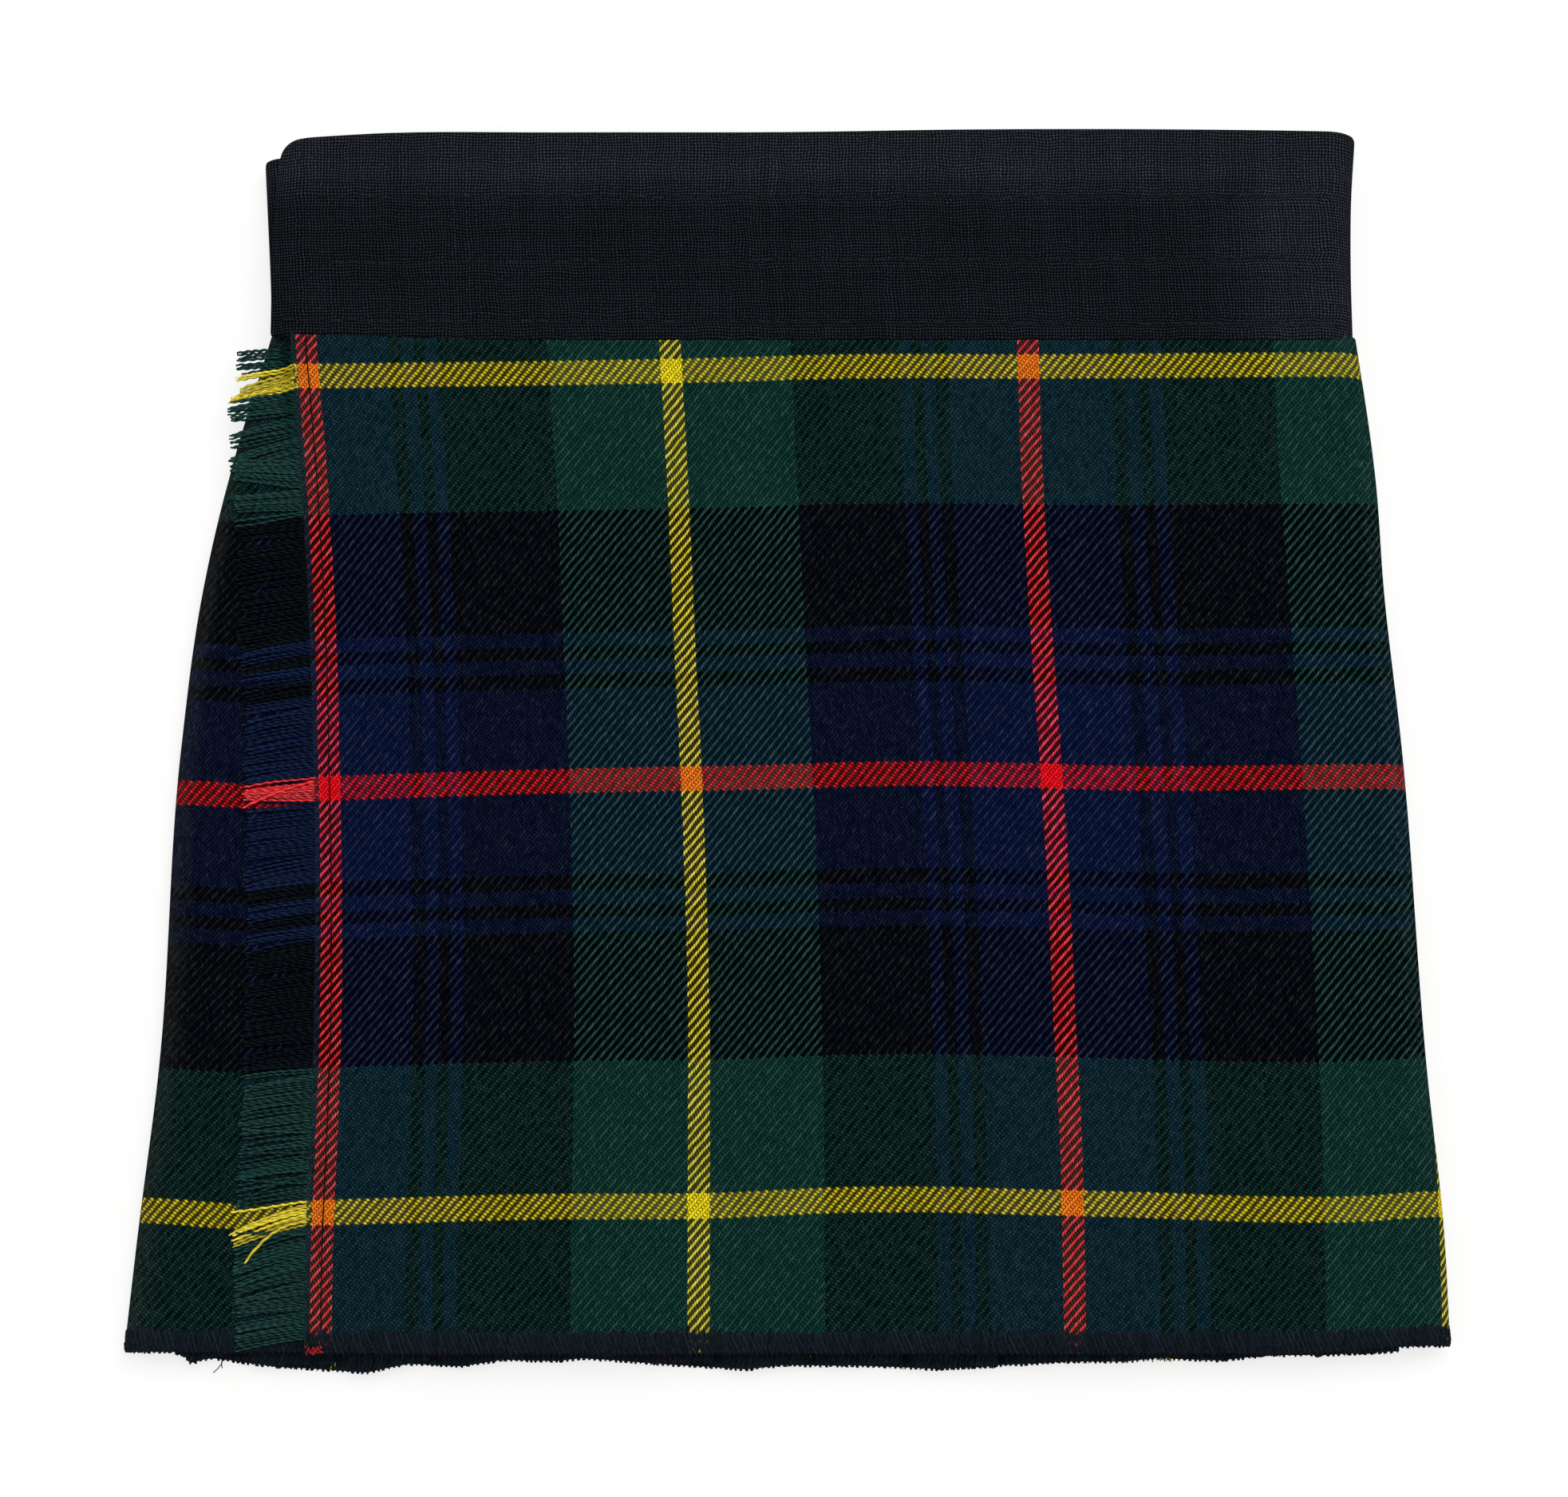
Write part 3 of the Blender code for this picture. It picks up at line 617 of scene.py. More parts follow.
def mesh_object(name, points, faces, maps):
    """A smooth mesh from points, held above the floor, and faces, with maps read by name: U and V
    of each point."""
    points = points.reshape(-1, 3)
    points[:, 2] = np.maximum(points[:, 2], REST_Z)
    mesh = bpy.data.meshes.new(name)
    mesh.from_pydata(points.tolist(), [], faces)
    corners = np.zeros(len(mesh.loops), np.int64)
    mesh.loops.foreach_get("vertex_index", corners)
    for map_name, values in maps.items():
        layer = mesh.uv_layers.new(name=map_name)
        flat = values.reshape(-1, 2)[corners].astype(np.float32)
        layer.data.foreach_set("uv", flat.ravel())
    mesh.shade_smooth()
    return bpy.data.objects.new(name, mesh)


def quads(rows, columns, first, flip):
    """Faces of a grid of points that starts at a point's number."""
    made = []
    for i in range(rows - 1):
        for j in range(columns - 1):
            a = first + i * columns + j
            face = (a, a + 1, a + columns + 1, a + columns)
            made.append(face[::-1] if flip else face)
    return made


def shell(name, grid, thickness, maps):
    """A closed thin wall on a grid, with its rim rounded outwards."""
    rows, columns = grid.shape[:2]
    normals = grid_normals(grid)
    half = np.broadcast_to(np.asarray(thickness), (rows, columns))[:, :, None] / 2
    upper = grid + normals * half
    lower = grid - normals * half
    count = rows * columns
    faces = quads(rows, columns, 0, False) + quads(rows, columns, count, True)
    rim = [(0, j) for j in range(columns)]
    rim += [(i, columns - 1) for i in range(1, rows)]
    rim += [(rows - 1, j) for j in range(columns - 2, -1, -1)]
    rim += [(i, 0) for i in range(rows - 2, 0, -1)]
    inner_step = {0: 1, rows - 1: rows - 2}
    inner_column = {0: 1, columns - 1: columns - 2}
    rim_points = []
    for i, j in rim:
        inside = grid[inner_step.get(i, i), inner_column.get(j, j)]
        away = grid[i, j] - inside
        away = away / max(np.linalg.norm(away), 1e-9)
        rim_points.append(grid[i, j] + away * half[i, j] * 0.5)
    first = 2 * count
    for k, (i, j) in enumerate(rim):
        i2, j2 = rim[(k + 1) % len(rim)]
        a = i * columns + j
        b = i2 * columns + j2
        mid_a = first + k
        mid_b = first + (k + 1) % len(rim)
        faces.append((b, a, mid_a, mid_b))
        faces.append((mid_b, mid_a, count + a, count + b))
    points = np.concatenate([upper.reshape(-1, 3), lower.reshape(-1, 3), np.array(rim_points)])
    spread_maps = {}
    for key, values in maps.items():
        flat = values.reshape(-1, 2)
        edge = np.array([values[i, j] for i, j in rim])
        spread_maps[key] = np.concatenate([flat, flat, edge])
    return mesh_object(name, points, faces, spread_maps)


def tubes(name, lines, normals, across, thick, sides, maps):
    """Joined threads: each line of points gets an oval section, wide across and thin along its
    normals, which may be a single one for all of them."""
    count, length = lines.shape[:2]
    tangent = np.gradient(lines, axis=1)
    tangent /= np.maximum(np.linalg.norm(tangent, axis=2, keepdims=True), 1e-12)
    side = np.cross(tangent, normals)
    side /= np.maximum(np.linalg.norm(side, axis=2, keepdims=True), 1e-12)
    up = np.cross(side, tangent)
    angle = 2 * math.pi * np.arange(sides) / sides + math.pi / sides
    wide = np.broadcast_to(np.asarray(across), (count, length))[:, :, None, None]
    high = np.broadcast_to(np.asarray(thick), (count, length))[:, :, None, None]
    ring = side[:, :, None, :] * wide * np.cos(angle)[None, None, :, None]
    ring = ring + up[:, :, None, :] * high * np.sin(angle)[None, None, :, None]
    points = lines[:, :, None, :] + ring
    faces = []
    for k in range(count):
        base = k * length * sides
        for i in range(length - 1):
            low = base + i * sides
            for j in range(sides):
                n = (j + 1) % sides
                faces.append((low + j, low + n, low + sides + n, low + sides + j))
        faces.append(tuple(base + j for j in range(sides))[::-1])
        last = base + (length - 1) * sides
        faces.append(tuple(last + j for j in range(sides)))
    spread_maps = {key: np.repeat(values[:, :, None, :], sides, axis=2) for key, values in maps.items()}
    return mesh_object(name, points, faces, spread_maps)


def strand_map(tones, length):
    """Map of threads: U holds each one's tone and V the share along it."""
    tones = np.broadcast_to(np.asarray(tones)[:, None], (len(tones), length))
    shares = np.broadcast_to(np.linspace(0.0, 1.0, length), tones.shape)
    return {"strand": np.stack([tones, shares], axis=2)}


class Graph:
    """Short calls for one material's nodes. Colours go through the vector ones."""

    def __init__(self, name, roughness, specular, sheen=0.0):
        self.material = bpy.data.materials.new(name)
        self.material.use_nodes = True
        self.tree = self.material.node_tree
        self.shader = self.tree.nodes["Principled BSDF"]
        self.shader.inputs["Roughness"].default_value = roughness
        self.shader.inputs["Specular IOR Level"].default_value = specular
        self.shader.inputs["Sheen Weight"].default_value = sheen

    def node(self, kind, *values, **settings):
        """A new node with these settings, its first sockets fed in order."""
        made = self.tree.nodes.new(kind)
        for key, value in settings.items():
            setattr(made, key, value)
        for socket, value in zip(made.inputs, values):
            self.feed(socket, value)
        return made

    def feed(self, socket, value):
        """Link or set a socket."""
        if isinstance(value, bpy.types.NodeSocket):
            self.tree.links.new(value, socket)
        else:
            socket.default_value = value

    def math(self, operation, *values):
        return self.node("ShaderNodeMath", *values, operation=operation).outputs[0]

    def vector_math(self, operation, *values):
        return self.node("ShaderNodeVectorMath", *values, operation=operation).outputs[0]

    def plus(self, a, b):
        return self.math("ADD", a, b)

    def minus(self, a, b):
        return self.math("SUBTRACT", a, b)

    def power(self, a, b):
        return self.math("POWER", a, b)

    def greater(self, a, b):
        return self.math("MAXIMUM", a, b)

    def times(self, first, *others):
        """Product of two or more values."""
        for value in others:
            first = self.math("MULTIPLY", first, value)
        return first

    def linear(self, value, factor, shift):
        """A value times a factor, plus a shift."""
        return self.math("MULTIPLY_ADD", value, factor, shift)

    def ranged(self, value, low, high):
        """A 0 to 1 value spread from low to high."""
        return self.linear(value, high - low, low)

    def clamped(self, value):
        """A value held from 0 to 1."""
        return self.node("ShaderNodeClamp", value).outputs[0]

    def eased(self, value, low, high):
        """0 below one value, 1 above another and a smooth step between them."""
        made = self.node("ShaderNodeMapRange", value, low, high, interpolation_type="SMOOTHSTEP")
        return made.outputs[0]

    def thread_map(self, map_name="cloth"):
        """U and V of the named map."""
        reader = self.node("ShaderNodeUVMap", uv_map=map_name)
        parts = self.node("ShaderNodeSeparateXYZ", reader.outputs[0])
        return parts.outputs[0], parts.outputs[1]

    def position(self):
        """The point's place on its object."""
        return self.node("ShaderNodeTexCoord").outputs["Object"]

    def facing(self, axis, low, high):
        """How far the surface turns along an axis, 0 at one share and 1 at another."""
        normal = self.node("ShaderNodeNewGeometry").outputs["Normal"]
        share = self.node("ShaderNodeSeparateXYZ", normal).outputs[axis]
        return self.node("ShaderNodeMapRange", share, low, high).outputs[0]

    def noise(self, place, scale, detail):
        made = self.node("ShaderNodeTexNoise", place)
        made.inputs["Scale"].default_value = scale
        made.inputs["Detail"].default_value = detail
        return made.outputs[0]

    def grain(self, x, y, scale, detail):
        """Noise read at two numbers."""
        return self.noise(self.node("ShaderNodeCombineXYZ", x, y).outputs[0], scale, detail)

    def random(self, value):
        """A number from 0 to 1 for each value."""
        made = self.node("ShaderNodeTexWhiteNoise", noise_dimensions="1D")
        self.feed(made.inputs["W"], value)
        return made.outputs[0]

    def rounded(self, across, power):
        """1 in the middle of a span from -0.5 to 0.5, falling to 0 at its edges."""
        out = self.power(self.math("ABSOLUTE", self.times(across, 2.0)), power)
        return self.greater(self.minus(1.0, out), 0.0)

    def redness(self, colour):
        return self.node("ShaderNodeSeparateColor", colour).outputs[0]

    def paleness(self, colour):
        return self.node("ShaderNodeRGBToBW", colour).outputs[0]

    def total(self, a, b):
        """Sum of two colours."""
        return self.vector_math("ADD", a, b)

    def scaled(self, colour, amount):
        """A colour times a number."""
        made = self.node("ShaderNodeVectorMath", colour, operation="SCALE")
        self.feed(made.inputs["Scale"], amount)
        return made.outputs[0]

    def limited(self, colour, low, high):
        """Each channel's share above one value, and no more than from there to another."""
        least = self.vector_math("MINIMUM", colour, (high,) * 3)
        above = self.vector_math("MAXIMUM", least, (low,) * 3)
        return self.vector_math("SUBTRACT", above, (low,) * 3)

    def mixed(self, data_type, first_socket, share, a, b):
        made = self.node("ShaderNodeMix", share, data_type=data_type)
        self.feed(made.inputs[first_socket], a)
        self.feed(made.inputs[first_socket + 1], b)
        return made

    def mix(self, share, a, b):
        """The colour a share of the way from a to b."""
        return self.mixed("RGBA", 6, share, a, b).outputs[2]

    def mix_value(self, share, a, b):
        """The number a share of the way from a to b."""
        return self.mixed("FLOAT", 2, share, a, b).outputs[0]

    def sett(self, thread):
        """Colour of a thread of the tartan by its number."""
        folded = self.math("PINGPONG", self.plus(self.math("FLOOR", thread), 0.5), HALF_SETT)
        ramp = self.node("ShaderNodeValToRGB", self.math("DIVIDE", folded, HALF_SETT))
        ramp.color_ramp.interpolation = "CONSTANT"
        stops = ramp.color_ramp.elements
        position = 0
        for index, stripe in enumerate(SETT):
            stop = stops[index] if index < 2 else stops.new(position / HALF_SETT)
            stop.position = position / HALF_SETT
            stop.color = (*YARNS[stripe.colour], 1.0)
            position += stripe.threads
        return ramp.outputs[0]

    def finish(self, colour, height=None, distance=0.0, strength=1.0):
        """The material in its colour, with a relief where a height is given."""
        self.feed(self.shader.inputs["Base Color"], colour)
        if height is not None:
            bump = self.node("ShaderNodeBump")
            bump.inputs["Strength"].default_value = strength
            bump.inputs["Distance"].default_value = distance
            self.feed(bump.inputs["Height"], height)
            self.feed(self.shader.inputs["Normal"], bump.outputs[0])
        return self.material


def twill_float(g, across, along, floats):
    """Nearest float of one set of threads: its thread, how high it stands here and its tone.

    Floats are ovals that step up by one thread each and lean off their own line."""
    place = g.linear(g.minus(along, across), 1.0 / TWILL, (0.5 - floats.middle) / TWILL)
    wale = g.math("ROUND", place)
    on_wale = g.minus(along, g.linear(wale, float(TWILL), floats.middle))
    off_centre = g.minus(across, 0.5)
    leaning = g.linear(on_wale, -floats.lean, off_centre)
    thread = g.math("ROUND", g.math("DIVIDE", leaning, 1.0 - floats.lean))
    off_end = g.minus(on_wale, thread)
    off_side = g.minus(off_centre, g.linear(off_end, floats.lean, thread))
    end_part = g.power(g.times(off_end, 1.0 / floats.long), 2.0)
    side_part = g.power(g.times(off_side, 1.0 / floats.wide), 2.0)
    height = g.minus(g.minus(1.0, end_part), side_part)
    return thread, height, g.random(g.linear(thread, 3.17, g.times(wale, 17.71)))


Twill = namedtuple("Twill", "warp weft warp_on_top top crossing beneath swelling height tone")


def twill_at(g, u, v):
    """The yarns that meet at a point: their colours, which is on top, its height and its tone."""
    end, warp_height, warp_tone = twill_float(g, u, v, WARP_FLOAT)
    pick, weft_height, weft_tone = twill_float(g, v, u, WEFT_FLOAT)
    warp = g.sett(end)
    weft = g.sett(pick)
    swelling = g.minus(g.redness(warp), g.redness(weft))
    on_top = g.math("GREATER_THAN", g.linear(swelling, BRIGHT_SWELL, warp_height), weft_height)
    beneath = g.node("ShaderNodeGamma", g.vector_math("MULTIPLY", warp, weft), 0.5).outputs[0]
    height = g.greater(g.mix_value(on_top, weft_height, warp_height), 0.0)
    tone = g.mix_value(on_top, weft_tone, warp_tone)
    return Twill(warp, weft, on_top, g.mix(on_top, weft, warp), g.mix(on_top, warp, weft),
                 beneath, swelling, height, tone)


def floats_colour(g, twill, fibres):
    """Colour of the floats, mingled with the yarns that they cross, and of the gaps between them, with
    painted light and shade.
    """
    # lit is painted light and shade: each float lighter at its crest, darker towards its ends and sides
    # and where a bright float crosses a dull one, with the yarns' own uneven tone
    lit = g.times(
        g.linear(g.power(twill.height, 2.0), 1.32, 0.03),
        g.linear(g.math("ABSOLUTE", twill.swelling), -0.64, 1.0),
        g.ranged(fibres, 0.65, 1.35),
        g.ranged(twill.tone, 0.82, 1.18),
        g.mix_value(twill.warp_on_top, WEFT_FLOAT.share, WARP_FLOAT.share),
    )
    mingled = g.total(twill.top, g.scaled(g.limited(twill.crossing, 0.0, 0.025), 0.8))
    own_light = g.math("DIVIDE", g.paleness(twill.top), g.paleness(mingled))
    bleed = g.scaled(g.limited(twill.crossing, 0.03, 0.25), BRIGHT_BLEED)
    blended = g.total(g.scaled(mingled, own_light), bleed)
    both_bright = g.clamped(g.times(g.redness(twill.beneath), 2.0))
    mixed_dyes = g.total(g.scaled(twill.beneath, 0.55), g.scaled(g.total(twill.warp, twill.weft), 0.22))
    floats = g.scaled(g.mix(both_bright, blended, mixed_dyes), lit)
    # Painted shade: the gaps between the floats are darkened
    return g.mix(g.eased(twill.height, 0.05, 0.42), g.scaled(twill.beneath, 0.35), floats)


def painted_twill_glint(g, twill, u, v):
    """Painted highlight: pale glint on the crests of dull floats, in clouds, and painted sheen where the
    cloth turns down.
    """
    sheen = g.math("MINIMUM", g.linear(g.paleness(twill.top), 0.6, 0.013), 0.05)
    glint = g.times(
        g.power(twill.height, 2.5),
        g.clamped(g.linear(g.redness(twill.beneath), -2.2, 1.0)),
        g.power(g.ranged(twill.tone, 0.60, 1.35), 2.0),
        g.power(g.ranged(g.grain(u, v, 0.22, 3.0), 0.3, 1.7), 2.0),
        sheen,
        g.mix_value(twill.warp_on_top, WEFT_FLOAT.glint, WARP_FLOAT.glint),
    )
    # Painted sheen: a pale veil added where the cloth tilts away from flat
    painted_turn_sheen = g.times(g.facing(2, 0.998, 0.93), 0.0055)
    return g.linear(painted_turn_sheen, g.times(twill.height, twill.tone), glint)


def hem_sewing(g, colour, top):
    """The colour with the overlock's thread over it near the hem, thinner over bright yarns."""
    along_hem, above_hem = g.thread_map("hem")
    slant = g.linear(above_hem, 0.38, along_hem)
    streaks = g.grain(g.times(slant, 2.4), g.times(above_hem, 0.5), 1.0, 2.0)
    ragged = g.plus(above_hem, g.ranged(g.grain(along_hem, 0.0, 0.9, 2.0), -0.7, 0.7))
    sewn = g.minus(1.0, g.eased(ragged, 3.2, 4.3))
    gaps = g.eased(g.grain(along_hem, above_hem, 0.8, 2.0), 0.52, 0.72)
    least_sewn = g.linear(g.redness(top), -0.9, 0.62)
    thread = g.scaled(HEM_THREAD, g.ranged(streaks, 0.1, 1.9))
    return g.mix(g.times(sewn, g.mix_value(gaps, 0.97, least_sewn)), colour, thread)


def tartan_material():
    """The 2/2 twill: each end and pick in its own colour, its floats rounded, leaning and uneven, with
    painted shade, painted glints and painted sheen.
    """
    g = Graph("tartan_wool", WOOL_ROUGHNESS, WOOL_SPECULAR)
    u, v = g.thread_map()
    stay_stitch = g.eased(g.math("ABSOLUTE", g.plus(u, float(HALF_SETT))), 0.10, 0.55)
    u = g.plus(u, g.ranged(g.grain(u, v, 0.16, 1.0), -0.5, 0.5))
    v = g.plus(v, g.ranged(g.grain(v, u, 0.21, 1.0), -0.3, 0.3))
    twill = twill_at(g, u, v)
    fibres = g.grain(u, v, 5.1, 3.0)
    # Painted highlights, a pale glint added to the floats' crests
    glint = g.scaled(PAINTED_GLINT_TINT, painted_twill_glint(g, twill, u, v))
    broad = g.ranged(g.grain(u, v, 0.02, 2.0), 0.90, 1.10)
    colour = g.total(floats_colour(g, twill, fibres), glint)
    colour = g.scaled(colour, g.times(broad, g.ranged(stay_stitch, 0.12, 1.0)))
    colour = hem_sewing(g, colour, twill.top)
    # Pale fuzz with painted sheen on sides that face left, where the light falls
    edge = g.greater(g.facing(0, -0.80, -1.0), g.times(g.facing(0, -0.10, -0.6), 0.10))
    colour = g.mix(g.times(edge, g.ranged(fibres, 0.2, 0.9)), colour, PAINTED_SHEEN_FUZZ_WOOL)
    relief = g.linear(stay_stitch, 0.8, g.linear(fibres, 0.25, twill.height))
    return g.finish(colour, relief, CLOTH_RELIEF, 0.8)


def band_material():
    """Plain weave in near-black slate, its threads a little uneven, with painted light and shade, and pale
    fuzz with painted sheen on its left end and top edge.
    """
    g = Graph("waistband_weave", WOOL_ROUGHNESS, WOOL_SPECULAR)
    u, v = g.thread_map()
    u = g.plus(u, g.ranged(g.grain(u, v, 0.12, 1.0), -0.9, 0.9))
    v = g.plus(v, g.ranged(g.grain(v, u, 0.10, 1.0), -0.9, 0.9))
    end = g.math("FLOOR", u)
    pick = g.math("FLOOR", v)
    warp_on_top = g.math("FLOORED_MODULO", g.plus(end, pick), 2.0)
    end_ridge = g.rounded(g.minus(g.math("FRACT", u), 0.5), 1.3)
    pick_ridge = g.rounded(g.minus(g.math("FRACT", v), 0.5), 1.3)
    warp_height = g.times(end_ridge, g.ranged(pick_ridge, 0.55, 1.0))
    weft_height = g.times(pick_ridge, g.ranged(end_ridge, 0.55, 1.0))
    height = g.mix_value(warp_on_top, weft_height, warp_height)
    # Painted light and shade: lighter along the threads, the holes between them painted dark
    lattice = g.greater(end_ridge, pick_ridge)
    fibres = g.grain(u, v, 6.0, 3.0)
    speckle = g.power(g.ranged(g.grain(u, v, 0.9, 3.0), 0.25, 1.75), 2.0)
    # Painted highlights on the thread crests, in patches
    crests = g.times(g.power(height, 2.4), speckle, 0.85)
    # Painted light, brighter towards the band's top and its right end
    painted_light_top_right = g.greater(g.eased(v, 172.0, 190.0), g.eased(u, 290.0, 314.0))
    lit = g.times(
        g.plus(g.linear(g.power(lattice, 5.0), 0.22, crests), 0.03),
        g.ranged(g.random(end), 0.90, 1.10),
        g.ranged(g.random(g.plus(pick, 900.5)), 0.90, 1.10),
        g.ranged(g.grain(u, v, 0.04, 2.0), 0.75, 1.25),
        g.ranged(painted_light_top_right, 0.92, 1.60),
        g.ranged(fibres, 0.6, 1.4),
    )
    colour = g.scaled(g.mix(warp_on_top, BAND_WEFT_DYE, BAND_WARP_DYE), lit)
    # Pale fuzz with painted sheen on sides that face left and along the top edge
    painted_sheen_fuzz = g.greater(g.facing(0, -0.86, -1.0), g.times(g.facing(1, 0.7, 1.0), 0.5))
    colour = g.mix(g.times(painted_sheen_fuzz, g.ranged(fibres, 0.2, 0.8)), colour, PAINTED_SHEEN_FUZZ_BAND)
    return g.finish(colour, g.linear(fibres, 0.3, height), CLOTH_RELIEF, 0.8)


def yarn_material():
    """Loose yarns: the cloth map gives their crimp and the thread whose colour they have, the
    strand map each one's tone and the share along it."""
    g = Graph("fringe_wool", WOOL_ROUGHNESS, WOOL_SPECULAR)
    wave, thread = g.thread_map()
    tone, share = g.thread_map("strand")
    # Painted light and shade: yarns lighter where they face up and at their crimp's crests, darker on
    # their sides
    crest = g.times(g.power(g.facing(2, 0.0, 1.0), 1.6), g.linear(wave, 0.16, 0.84))
    fibres = g.noise(g.position(), FIBRE_SCALE, 2.0)
    # Cut ends lighter: pale fuzz with painted light
    cut_end = g.eased(share, 0.90, 1.0)
    lit = g.times(
        g.ranged(crest, 0.15, 0.96),
        g.ranged(cut_end, 1.0, 1.4),
        tone,
        g.ranged(fibres, 0.45, 1.55),
    )
    dye = g.sett(thread)
    # Painted highlight on the yarns' crests
    glint = g.times(
        g.power(crest, 3.0),
        g.power(g.ranged(fibres, 0.2, 1.8), 2.0),
        g.math("MINIMUM", g.plus(g.paleness(dye), 0.006), 0.045),
        g.ranged(cut_end, 1.0, 2.0),
    )
    colour = g.total(g.scaled(dye, lit), g.scaled(FRINGE_PAINTED_GLINT_TINT, glint))
    return g.finish(colour, fibres, 0.06 * MM, 0.6)


def sewing_thread_material(name, colour):
    """A sewing thread with a fine twist; the strand map gives each stitch's tone."""
    g = Graph(name, 0.7, 0.03)
    tone = g.thread_map("strand")[0]
    fibres = g.noise(g.position(), FIBRE_SCALE, 2.0)
    # Painted light and shade: lighter where the thread faces up, darker on its sides
    lit = g.times(tone, g.ranged(g.facing(2, 0.0, 1.0), 0.35, 1.25), g.ranged(fibres, 0.5, 1.5))
    return g.finish(g.scaled(colour, lit), fibres, 0.04 * MM, 0.5)


def tape_material(name, hooks):
    """Black fastening tape: fine loops, or rows of small hooks."""
    g = Graph(name, 0.7, 0.2, 0.1)
    if hooks:
        dots = g.node("ShaderNodeTexVoronoi", g.position(), feature="F1")
        dots.inputs["Scale"].default_value = 700.0
        dots.inputs["Randomness"].default_value = 0.15
        height = g.minus(1.0, dots.outputs["Distance"])
    else:
        height = g.noise(g.position(), 2600.0, 4.0)
    # Painted shade: darker down between the loops or hooks, lighter on their tops
    return g.finish(g.scaled(TAPE_DYE, g.ranged(height, 0.5, 1.6)), height, 0.3 * MM, 0.8)


def floor_material():
    """Pale table top, softly lit from within."""
    g = Graph("pale_floor", 0.9, 0.1)
    g.shader.inputs["Emission Color"].default_value = (1.0, 1.0, 0.995, 1.0)
    g.shader.inputs["Emission Strength"].default_value = 0.70
    return g.finish(FLOOR_COLOUR)


TARTAN = tartan_material()
WEAVE = band_material()
YARN = yarn_material()
NAVY_THREAD = sewing_thread_material("overlock_thread", OVERLOCK_DYE)
BLACK_THREAD = sewing_thread_material("black_sewing_thread", SEWING_DYE)

# Cloth panels
ROWS = 104
PANEL_Y = np.linspace(HEM_Y, WAIST_Y, ROWS)
over_grid = grid_of([over_apron_path(y) for y in PANEL_Y])
under_grid = grid_of([under_apron_path(y) for y in PANEL_Y])
BACK_ROWS = 56
BACK_Y = np.linspace(HEM_Y, WAIST_Y, BACK_ROWS)
back_paths = [pleated_back_path(y) for y in BACK_Y]
back_grid = grid_of(back_paths)
back_hem = np.array([path[3] for path in back_paths])


def cloth_map(warp, weft):
    """Map of a piece from its warp and weft thread numbers."""
    return {"cloth": np.stack([warp, weft], axis=2)}


def cloth_piece(name, grid, thickness, maps, material, node):
    """A shell that takes the place of a node."""
    piece = shell(name, grid, thickness, maps)
    link(piece, material)
    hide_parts(node)
    return piece


def panel(node, grid, warp, weft):
    """A tartan panel with its thread numbers, and the places along and above its hem in millimetres."""
    above = np.linspace(0.0, (WAIST_Y - HEM_Y) / MM, len(grid))[:, None] + np.zeros_like(warp)
    maps = {**cloth_map(warp, weft), "hem": np.stack([along(grid) / MM, above], axis=2)}
    return cloth_piece(node + "_cloth", grid, CLOTH, maps, TARTAN, node)


over_u = over_warp(over_grid)
over_v = weft_picks(OVER_WEFT, over_grid[:, :, 0], over_grid[:, :, 1])
under_u = under_warp(under_grid)
under_v = weft_picks(UNDER_WEFT, under_grid[:, :, 0], under_grid[:, :, 1])
row_of_back = np.linspace(0, ROWS - 1, BACK_ROWS)
first_thread = np.interp(row_of_back, np.arange(ROWS), over_u[:, -1]) + GAP / END_PITCH
last_thread = np.interp(row_of_back, np.arange(ROWS), under_u[:, 0]) - GAP / END_PITCH
back_u = back_warp(back_grid, first_thread, last_thread)
back_shift = 0.7 * (back_hem - MEAN_PLEAT_HEM)
back_v = weft_picks(BACK_WEFT, back_grid[:, :, 0], back_grid[:, :, 1] - back_shift)

over_apron = panel("over_apron", over_grid, over_u, over_v)
under_apron = panel("under_apron", under_grid, under_u, under_v)
pleated_back = panel("pleated_back", back_grid, back_u, back_v)

# Waistband stretches
BAND_EDGE = 1.3 * MM
BAND_CROWN = 0.6 * MM
# Topstitching: one stitch, the trough it draws, and its rows from end to end in millimetres
STITCH = 3.2 * MM
STITCH_TROUGH = 0.22 * MM
STITCH_TROUGH_WIDE = 0.75 * MM
Seam = namedtuple("Seam", "x0 y0 x1 y1")
STITCH_LINES = (
    Seam(-96.5, 110.6, 101.8, 110.6),
    Seam(-96.5, 96.6, 101.8, 97.8),
    Seam(101.8, 97.8, 101.8, 110.6),
    Seam(-103.0, 84.6, 113.0, 83.7),
)


def seam_run(seam):
    """Start of a seam, the step to its end, and its length."""
    start = np.array([seam.x0, seam.y0]) * MM
    run = np.array([seam.x1 - seam.x0, seam.y1 - seam.y0]) * MM
    return start, run, np.linalg.norm(run)


def seam_trough(x, y):
    """Depth of the soft trough that the stitching draws into the waistband."""
    total = np.zeros_like(x)
    for seam in STITCH_LINES:
        start, run, length = seam_run(seam)
        away = np.stack([x, y], axis=-1) - start
        at = np.clip(away @ run / length, 0.0, length)
        off = np.linalg.norm(away - at[..., None] * run / length, axis=-1)
        pinch = 0.65 + 0.35 * np.cos(2 * math.pi * at / STITCH)
        total = np.maximum(total, STITCH_TROUGH * pinch * np.exp(-(off / STITCH_TROUGH_WIDE) ** 2))
    return total


def band_thickness(shares, heights):
    """Wall of the band, rounded along its long folded edges."""
    near = np.minimum(shares, 1.0 - shares) * heights
    inset = 1.0 - np.clip(near / BAND_EDGE, 0.0, 1.0)
    return BAND * (0.25 + 0.75 * np.sqrt(np.maximum(1.0 - inset * inset, 0.0))) - 0.05 * MM


def band_shares(count):
    """Shares of the band's height, closer together along its folded edges."""
    inner = np.linspace(0.0, 1.0, count)
    edge = np.array([0.004, 0.010, 0.018])
    return np.sort(np.concatenate([inner, edge, 1.0 - edge]))


def band_ends(share, left_name):
    """Left and right ends of a stretch of the waistband at a share of its height."""
    return [float(read_smooth(BAND_ROWS, "share", name, share * MM)) for name in (left_name, "right")]


